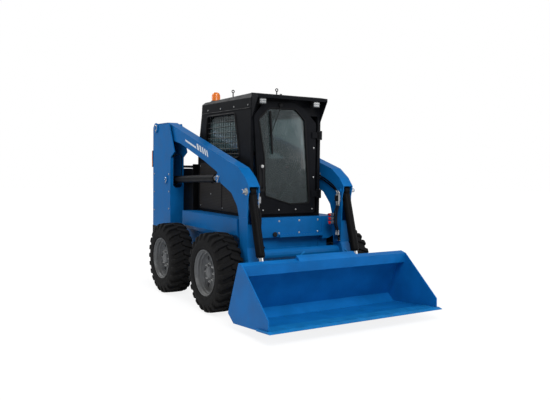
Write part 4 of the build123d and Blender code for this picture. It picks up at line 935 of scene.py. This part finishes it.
H_LO, H_HI = box("boom_hoses")
HOSE_MID = (H_LO.z + H_HI.z) / 2
HOSE_ROWS = (("front", -0.660), ("rear", -0.628))
QUICK_Y = -0.575
QUICK_ROWS = (0.840, 0.880, 0.920)
for name, way in SIDES:
    x = way * (H_HI.x - 0.009)
    for tag, y in HOSE_ROWS:
        made = line(f"hose_{tag}_{name}", "boom", [(x, y, H_HI.z), (x, y, H_HI.z - 0.05),
            (x - way * 0.026, y, HOSE_MID + 0.06), (x - way * 0.026, y, HOSE_MID - 0.06),
            (x, y, H_LO.z + 0.05), (x, y, H_LO.z)], 0.0085, "hose_rubber")
        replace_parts(made, "boom_hoses")

    def ends(bm):
        for _, y in HOSE_ROWS:
            for z, up in ((H_HI.z, -1), (H_LO.z, 1)):
                add_turned(bm, (x, y, z), Z * up, [(0, 0.0125), (0.012, 0.0125), (0.013, 0.010),
                    (0.044, 0.0105), (0.046, 0.009)], 6)
                for k in range(3):
                    add_turned(bm, (x, y, z + up * (0.018 + k * 0.009)), Z * up,
                        [(0, 0.0112), (0.004, 0.0112)], 20)
    piece(f"hose_ends_{name}", "boom", "zinc", ends)

    def elbows(bm):
        for _, y in HOSE_ROWS:
            top = Vector((x, y, 1.121))
            add_bar_path(bm, [top - Z * 0.004, top + Z * 0.012, top + Vector((0, -0.004, 0.026)),
                top + Vector((0, 0.004, 0.040)), top + Vector((0, 0.018, 0.046))], 0.0075, 12)
            add_turned(bm, top, Z, [(0, 0.012), (0.010, 0.012)], 6)
    piece(f"elbows_{name}", "boom", "zinc", elbows)
    for tag, dz in (("upper", 0.0), ("lower", -0.026)):
        px = way * (ARM_IN - 0.0095)
        line(f"arm_pipe_{tag}_{name}", "boom", [(px, -0.612, 1.168), (px, -0.585, 1.205 + dz),
            (px, -0.44, 1.275 + dz), (px, -0.28, 1.330 + dz), (px, 0.0, 1.432 + dz), (px, 0.6, 1.622 + dz),
            (px, 0.95, 1.720 + dz), (px, 1.30, 1.782 + dz)], 0.0065, "black_paint")

    def clamps(bm):
        for y, z in ((-0.30, 1.324), (0.25, 1.511), (0.80, 1.680)):
            x0, x1 = sorted((way * (ARM_IN - 0.0185), way * ARM_IN))
            add_block(bm, (x0, y - 0.014, z - 0.044), (x1, y + 0.014, z + 0.020))
            add_bolt(bm, (way * (ARM_IN - 0.0185), y, z - 0.013), -X * way, 0.005, 0.006)

    piece(f"pipe_clamps_{name}", "boom", "zinc", clamps, 0.001)


def quick_caps(bm):
    for z in QUICK_ROWS:
        add_lathe(bm, (0.4277, QUICK_Y, z), -X, [(0, 0), (0, 0.0155), (0.020, 0.0155), (0.024, 0.012),
            (0.026, 0)], 24)
        add_bar_path(bm, [(0.420, -0.561, z), (0.440, -0.556, z - 0.010), (0.462, -0.557, z - 0.004)],
            0.0022, 6)


piece("quick_caps", "boom", "red_cap", quick_caps)
piece("quick_sleeves", "boom", "zinc", lambda bm: [add_turned(bm, (0.4657, QUICK_Y, z), -X, [(0, 0.0170),
    (0.012, 0.0170), (0.013, 0.0155), (0.022, 0.0155), (0.023, 0.0172), (0.036, 0.0172), (0.037, 0.015)],
    28) for z in QUICK_ROWS])

# --- frame, nose and step
NOSE = -0.470
BELLOW = -0.430
FRAME_SIDE = 0.388
AXLES_Y = (-0.33, 0.77)
AXLE_Z = 0.385
FLANGE_FACE = 0.5285
FLANGE_CIRCLE = 0.092
FLANGE_BOLTS = 8
bolts("nose_bolts", "chassis", [(x, NOSE, z) for x in (-0.35, -0.12, 0.12, 0.35) for z in (0.745, 0.865)],
    -Y, 0.008, 0.006)


piece("nose_cover", "chassis", "blue_paint", lambda bm: add_slab(bm, rounded(at_y(BELLOW,
    ((-0.25, 0.36), (0.25, 0.36), (0.25, 0.60), (-0.25, 0.60))), 0.03), -Y * 0.005), 0.0015)
bolts("nose_cover_bolts", "chassis", [(x, BELLOW - 0.005, z) for x in (-0.225, 0.0, 0.225)
    for z in (0.385, 0.575)], -Y, 0.008, 0.006)


def studs(bm):
    for i in range(16):
        for j in range(2):
            x, y = -0.112 + i * 0.033, -0.491 + j * 0.0125
            tilt = 0.006 if (i + j) % 2 else -0.006
            add_bar_path(bm, [(x - 0.009, y - tilt / 3, 0.7288), (x, y, 0.7296),
                (x + 0.009, y + tilt / 3, 0.7288)], 0.0018, 6)


piece("step_studs", "chassis", "blue_paint", studs)
piece("frame_knob", "chassis", "control_plastic", lambda bm: add_turned(bm, (-0.172, NOSE, 0.735), -Y,
    [(0, 0.022), (0.004, 0.024), (0.018, 0.024), (0.022, 0.018)], 32))


def welds(name, body, mat, runs, radius=0.0028):
    """Weld beads along straight runs, each a slightly uneven bar."""
    bm = bmesh.new()
    for a, b in runs:
        a, b = Vector(a), Vector(b)
        n = max(2, int((b - a).length / 0.02))
        pts = [a + (b - a) * (k / n) + Vector((random.uniform(-1, 1), random.uniform(-1, 1),
            random.uniform(-1, 1))) * 0.0004 for k in range(n + 1)]
        add_bar_path(bm, pts, radius, 6)
    return finish_piece(name, bm, body, mat, smooth=60)


welds("frame_welds", "chassis", "blue_paint", [((x, NOSE + 0.001, 0.712), (x, NOSE + 0.001, 0.895))
    for x in (FRAME_SIDE, -FRAME_SIDE)] + [((x, BELLOW, 0.3), (x, BELLOW, 0.70))
    for x in (-FRAME_SIDE, FRAME_SIDE)])

for name, way in SIDES:
    bm = bmesh.new()
    for y in AXLES_Y:
        for t in turns(FLANGE_BOLTS):
            t += math.pi / FLANGE_BOLTS
            add_bolt(bm, (way * FLANGE_FACE, y + FLANGE_CIRCLE * math.cos(t),
                AXLE_Z + FLANGE_CIRCLE * math.sin(t)), X * way, 0.007, 0.007)
    finish_piece(f"housing_bolts_{name}", bm, "chassis", "zinc")

# --- towers, hood and tail
BASE_PIN = Vector(JOINTS["lift_pivot_left"]["pos_m"])
TOWER_OUT = 0.635
PIVOT_FACE = 0.649
BASE_FACE = 0.645
SLOT_FACE = 1.0745
for name, way in SIDES:
    def caps(bm):
        pin_cap(bm, Vector((way * PIVOT_FACE, PIVOT.y, PIVOT.z)), X * way, 0.036, 0.004)
        for k in range(3):
            t = 2 * math.pi * k / 3 + 0.5
            add_bolt(bm, (way * PIVOT_FACE, PIVOT.y + 0.0455 * math.cos(t), PIVOT.z + 0.0455 * math.sin(t)),
                X * way, 0.006, 0.005)
        pin_cap(bm, Vector((way * BASE_FACE, BASE_PIN.y, BASE_PIN.z)), X * way, 0.026, 0.004)
        add_bolt(bm, (way * BASE_FACE, BASE_PIN.y, BASE_PIN.z - 0.036), X * way, 0.005, 0.005)
    piece(f"tower_pin_caps_{name}", "chassis", "zinc", caps)
    bolts(f"tower_bolts_{name}", "chassis", [(way * TOWER_OUT, y, z) for y, z in ((1.12, 1.30),
        (1.12, 1.10), (1.12, 0.90), (1.58, 1.30), (1.58, 1.08), (1.58, 0.86))], X * way, 0.008, 0.006)

    def slot_rim(bm):
        pts = [Vector((way * x, SLOT_FACE, z)) for x, z in ((0.497, 1.174), (0.521, 1.150), (0.573, 1.150),
            (0.597, 1.174), (0.597, 1.506), (0.573, 1.530), (0.521, 1.530), (0.497, 1.506))]
        add_bar_path(bm, pts, 0.004, 8, closed=True)
    piece(f"tower_slot_rim_{name}", "chassis", "rubber_seal", slot_rim)
    welds(f"tower_welds_{name}", "chassis", "blue_paint", [((way * TOWER_OUT, 1.6145, 0.69),
        (way * TOWER_OUT, 1.6145, 1.86)), ((way * TOWER_OUT, 1.0755, 0.92),
        (way * TOWER_OUT, 1.0755, 1.34))], 0.0024)


piece("hood_mesh", "hood_lid", "perforated",
    lambda bm: add_block(bm, (-0.30, 0.975, 1.378), (0.30, 1.435, 1.380)))


HOOD_HANDLE_Y = 1.535
piece("hood_handle", "hood_lid", "control_plastic", lambda bm: add_bar_path(bm, at_y(HOOD_HANDLE_Y,
    ((-0.07, 1.399), (-0.07, 1.412), (-0.06, 1.418), (0.06, 1.418), (0.07, 1.412), (0.07, 1.399))), 0.005,
    12), smooth=50)
bolts("hood_bolts", "hood_lid", [(x, y, 1.400) for x in (-0.42, 0.42) for y in (0.90, 1.20, 1.50)], Z,
    0.008, 0.005)
piece("hood_seal", "hood_lid", "rubber_seal", lambda bm: add_loop(bm, [Vector((x, y, 1.4005))
    for x, y in ((-0.33, 0.945), (0.33, 0.945), (0.33, 1.465), (-0.33, 1.465))], 0.02, 0.003))


def tail_handle(bm):
    x, y = 0.395, 1.620
    pts = [Vector((x + dx, y - 0.0001, z))
        for dx, z in ((-0.022, 1.00), (0.022, 1.00), (0.022, 1.16), (-0.022, 1.16))]
    add_slab(bm, rounded(pts, 0.012), Y * 0.003)
    add_bar_path(bm, [(x, y, 1.03), (x, y + 0.014, 1.04), (x, y + 0.014, 1.12), (x, y, 1.13)], 0.006, 12)


piece("tail_handle", "tail_door", "control_plastic", tail_handle, smooth=50)
bolts("tail_bolts", "tail_door", [(x, 1.620, z) for x in (-0.34, 0.0, 0.41) for z in (0.71, 1.345)], Y,
    0.008, 0.006)
piece("tail_mesh", "tail_door", "perforated",
    lambda bm: add_block(bm, (-0.282, 1.581, 0.79), (0.282, 1.583, 1.30)))
bolts("bumper_bolts", "chassis", [(x, 1.640, z) for x in (-0.58, -0.36, 0.36, 0.58) for z in (0.51, 0.63)],
    Y, 0.012, 0.010)

# --- seat and controls
VOXEL = 0.006
SWELL = 0.014
CHANNEL_DEEP = 0.006
CHANNEL_WIDE = 0.0055
SEAT_LO, SEAT_HI = box("seat_cushions")
CUSHION_TOP = 1.110
BACK_FOOT = 1.1110
BOLSTER_X = 0.155


def cushion(name, half_w, outline, facing, across, keep):
    """A stuffed pad swollen by cloth pressure from a slab, with sewn channels on the face that is sat on."""
    bm = bmesh.new()
    add_slab(bm, at_x(-half_w, outline), X * 2 * half_w)
    made = add_object(name, mesh_of(name, bm))
    grid = made.modifiers.new("grid", "REMESH")
    grid.mode = "VOXEL"
    grid.voxel_size = VOXEL
    bake(made)
    rest = [v.co.copy() for v in made.data.vertices]
    cloth = made.modifiers.new("cloth", "CLOTH")
    cloth.settings.use_pressure = True
    cloth.settings.uniform_pressure_force = 4
    cloth.settings.effector_weights.gravity = 0
    for step in range(1, 21):
        bpy.context.scene.frame_set(step)
    bake(made)
    bpy.context.scene.frame_set(1)
    for v, start in zip(made.data.vertices, rest):
        moved = v.co - start
        if moved.length > SWELL:
            v.co = start + moved * (SWELL / moved.length)
    smoother = made.modifiers.new("round", "SUBSURF")
    smoother.levels = smoother.render_levels = 1
    bake(made)
    facing = Vector(facing).normalized()
    along = X.cross(facing).normalized()
    pushes = []
    for v in made.data.vertices:
        share = max(0.0, v.normal.dot(facing) - 0.35) / 0.65
        gaps = [abs(abs(v.co.x) - BOLSTER_X)]
        if abs(v.co.x) < BOLSTER_X:
            gaps += [abs(v.co.dot(along) - Vector(spot).dot(along)) for spot in across]
        pushes.append(share * CHANNEL_DEEP * math.exp(-(min(gaps) / CHANNEL_WIDE) ** 2))
    for v, push in zip(made.data.vertices, pushes):
        v.co -= facing * push
        keep(v.co)
    dress(made, "chassis", "seat_vinyl")
    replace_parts(made, "seat_cushions")
    return made


def keep_pad(co):
    """Holds the pad on the seat's base and under the back."""
    co.x = min(max(co.x, SEAT_LO.x - 0.004), SEAT_HI.x + 0.004)
    co.y = min(max(co.y, SEAT_LO.y - 0.006), 0.590)
    co.z = max(co.z, SEAT_LO.z + 0.0002)
    if co.y > 0.450:
        co.z = min(co.z, CUSHION_TOP)


def keep_back(co):
    """Holds the back above the pad and inside its own depth."""
    co.x = min(max(co.x, SEAT_LO.x), SEAT_HI.x)
    co.y = min(co.y, SEAT_HI.y + 0.004)
    co.z = min(max(co.z, BACK_FOOT), SEAT_HI.z + 0.006)


cushion("seat_pad", 0.231, [(0.140, 1.0112), (0.582, 1.0112), (0.582, 1.100), (0.140, 1.100)], Z,
    [(0, 0.24, 1.1), (0, 0.35, 1.1)], keep_pad)
cushion("seat_back", 0.226, [(0.480, 1.116), (0.584, 1.116), (0.656, 1.532), (0.577, 1.532)],
    Vector((0, -0.43, 0.10)), [(0, 0.50, 1.20), (0, 0.52, 1.29), (0, 0.54, 1.38), (0, 0.56, 1.47)],
    keep_back)

STICK_FOOT = Vector((0.300, 0.120, 1.130))
STICK_WAY = Vector((-0.010, -0.060, 0.175)).normalized()
GRIP_TOP = Vector((0.286, 0.035, 1.400))
for name, way in SIDES:
    def flipped(v):
        return Vector((v.x * way, v.y, v.z))
    bm = bmesh.new()
    folds = [(0.0, 0.0), (0.0, 0.040)]
    for k in range(4):
        folds += [(0.004 + k * 0.010, 0.038 - k * 0.006), (0.009 + k * 0.010, 0.031 - k * 0.006)]
    add_lathe(bm, flipped(STICK_FOOT), flipped(STICK_WAY), folds + [(0.046, 0.011), (0.046, 0.0)], 32)
    finish_piece(f"stick_boot_{name}", bm, "chassis", "rubber_seal")
    bm = bmesh.new()
    for dx in (-0.010, 0.010):
        place = flipped(GRIP_TOP) + Vector((dx, -0.004, -0.002))
        add_turned(bm, place, (0, -0.2, 1), [(0, 0.0058), (0.005, 0.0058), (0.0065, 0.004)], 20)
    finish_piece(f"grip_buttons_{name}", bm, "chassis", "red_cap" if way > 0 else "zinc")

# --- coupler and bucket
C_HI = box("coupler")[1]
L_LO, L_HI = box("latch_levers")
B_HI = box("bucket_shell")[1]
CHEEK_IN = B_HI.x - 0.010
SECTION = [(-1.112, 0.584), (-0.931, 0.131), (-1.026, 0.065), (-1.425, 0.094)]
welds("bucket_welds", "bucket", "bucket_steel", [((way * CHEEK_IN, *a), (way * CHEEK_IN, *b))
    for way in (1, -1) for a, b in zip(SECTION, SECTION[1:])], 0.0045)
for name, way in SIDES:
    bm = bmesh.new()
    x = way * (L_HI.x - 0.018)
    add_turned(bm, Vector((x, L_HI.y - 0.006, L_LO.z + 0.030)), Y, [(0, 0.020), (0.004, 0.022),
        (0.012, 0.022), (0.014, 0.018), (0.014, 0.009), (0.020, 0.008)], 28)
    finish_piece(f"latch_pivot_{name}", bm, "bucket", "zinc")
    bm = bmesh.new()
    add_turned(bm, Vector((way * C_HI.x, COUPLER_PIN.y, COUPLER_PIN.z)), X * way,
        [(0, 0.026), (0.001, 0.027), (0.003, 0.027), (0.004, 0.025)], 32)
    finish_piece(f"coupler_pin_cap_{name}", bm, "bucket", "zinc")

# --- camera, floor and light
LENS = 41.65
CAMERA_TURN = (-31.807, -3.082, 0.71)
CAMERA_AT = (-3.474, -5.794, 1.413)
FLOOR_Z = -0.001
LAMP_AIM = Vector((0, 0, 0.9))
LAMPS = (("key", (-1.5, -5.0, 5.5), 290, 3.2), ("fill", (4.5, -4.0, 3.0), 80, 3.5),
    ("back", (-2.5, 4.5, 5.0), 190, 3.0))


def white_seen(tree, seen, plain, white, out):
    """Shows the white shader to the rays named by a factor, and the plain one to all others."""
    blend = tree.nodes.new("ShaderNodeMixShader")
    for k, output in enumerate((seen, plain, white)):
        link(tree, output, blend.inputs[k])
    link(tree, blend.outputs[0], out.inputs[0])


def add_camera():
    """Camera at the photograph's viewing angle."""
    data = bpy.data.cameras.new("camera")
    data.sensor_width = 36
    data.lens = LENS
    cam = add_object("camera", data)
    az, pitch, roll = (math.radians(v) for v in CAMERA_TURN)
    forward = Vector((-math.sin(az) * math.cos(pitch), math.cos(az) * math.cos(pitch), math.sin(pitch)))
    right = Vector((math.cos(az), math.sin(az), 0))
    up = right.cross(forward)
    r2 = right * math.cos(roll) + up * math.sin(roll)
    u2 = up * math.cos(roll) - right * math.sin(roll)
    cam.matrix_world = Matrix.Translation(CAMERA_AT) @ Matrix((r2, u2, -forward)).transposed().to_4x4()
    bpy.context.scene.camera = cam


def add_floor():
    """Plain pale floor that keeps the shadow near the object and is white to the camera further off."""
    corners = [(x, y, FLOOR_Z) for x, y in ((-30, -30), (30, -30), (30, 30), (-30, 30))]
    mesh = bpy.data.meshes.new("floor")
    mesh.from_pydata(corners, [], [(0, 1, 2, 3)])
    floor = add_object("floor", mesh)
    paint = bpy.data.materials.new("floor")
    paint.use_nodes = True
    tree = paint.node_tree
    tree.nodes.clear()
    out = tree.nodes.new("ShaderNodeOutputMaterial")
    plain = tree.nodes.new("ShaderNodeBsdfDiffuse")
    plain.inputs["Color"].default_value = (0.9, 0.9, 0.9, 1)
    white = tree.nodes.new("ShaderNodeEmission")
    white.inputs["Strength"].default_value = 1.05
    rays = tree.nodes.new("ShaderNodeLightPath")
    spot = tree.nodes.new("ShaderNodeTexCoord")
    reach = tree.nodes.new("ShaderNodeVectorMath")
    reach.operation = "LENGTH"
    link(tree, spot.outputs["Object"], reach.inputs[0])
    clear = scaled(tree, reach.outputs["Value"], 0.82, 1.0, 1.6, 3.2)
    share = reckon(tree, "MULTIPLY", rays.outputs["Is Camera Ray"], clear)
    white_seen(tree, share, plain.outputs[0], white.outputs[0], out)
    mesh.materials.append(paint)


def add_world():
    """Even pale sky for the light, white to the camera and through glass."""
    world = bpy.data.worlds.new("world")
    world.use_nodes = True
    tree = world.node_tree
    sky = tree.nodes["Background"]
    sky.inputs[0].default_value = (0.93, 0.96, 1.0, 1)
    sky.inputs[1].default_value = 0.44
    white = tree.nodes.new("ShaderNodeBackground")
    white.inputs[0].default_value = (1, 1, 1, 1)
    rays = tree.nodes.new("ShaderNodeLightPath").outputs
    either = reckon(tree, "MAXIMUM", rays["Is Camera Ray"], rays["Is Transmission Ray"])
    white_seen(tree, either, sky.outputs[0], white.outputs[0], tree.nodes["World Output"])
    bpy.context.scene.world = world


add_camera()
add_floor()
add_world()
for label, place, power, size in LAMPS:
    lamp = bpy.data.lights.new(label, "AREA")
    lamp.energy = power
    lamp.size = size
    obj = add_object(label, lamp)
    obj.location = place
    obj.rotation_euler = (LAMP_AIM - Vector(place)).to_track_quat("-Z", "Y").to_euler()
bpy.context.scene.view_settings.view_transform = "Standard"
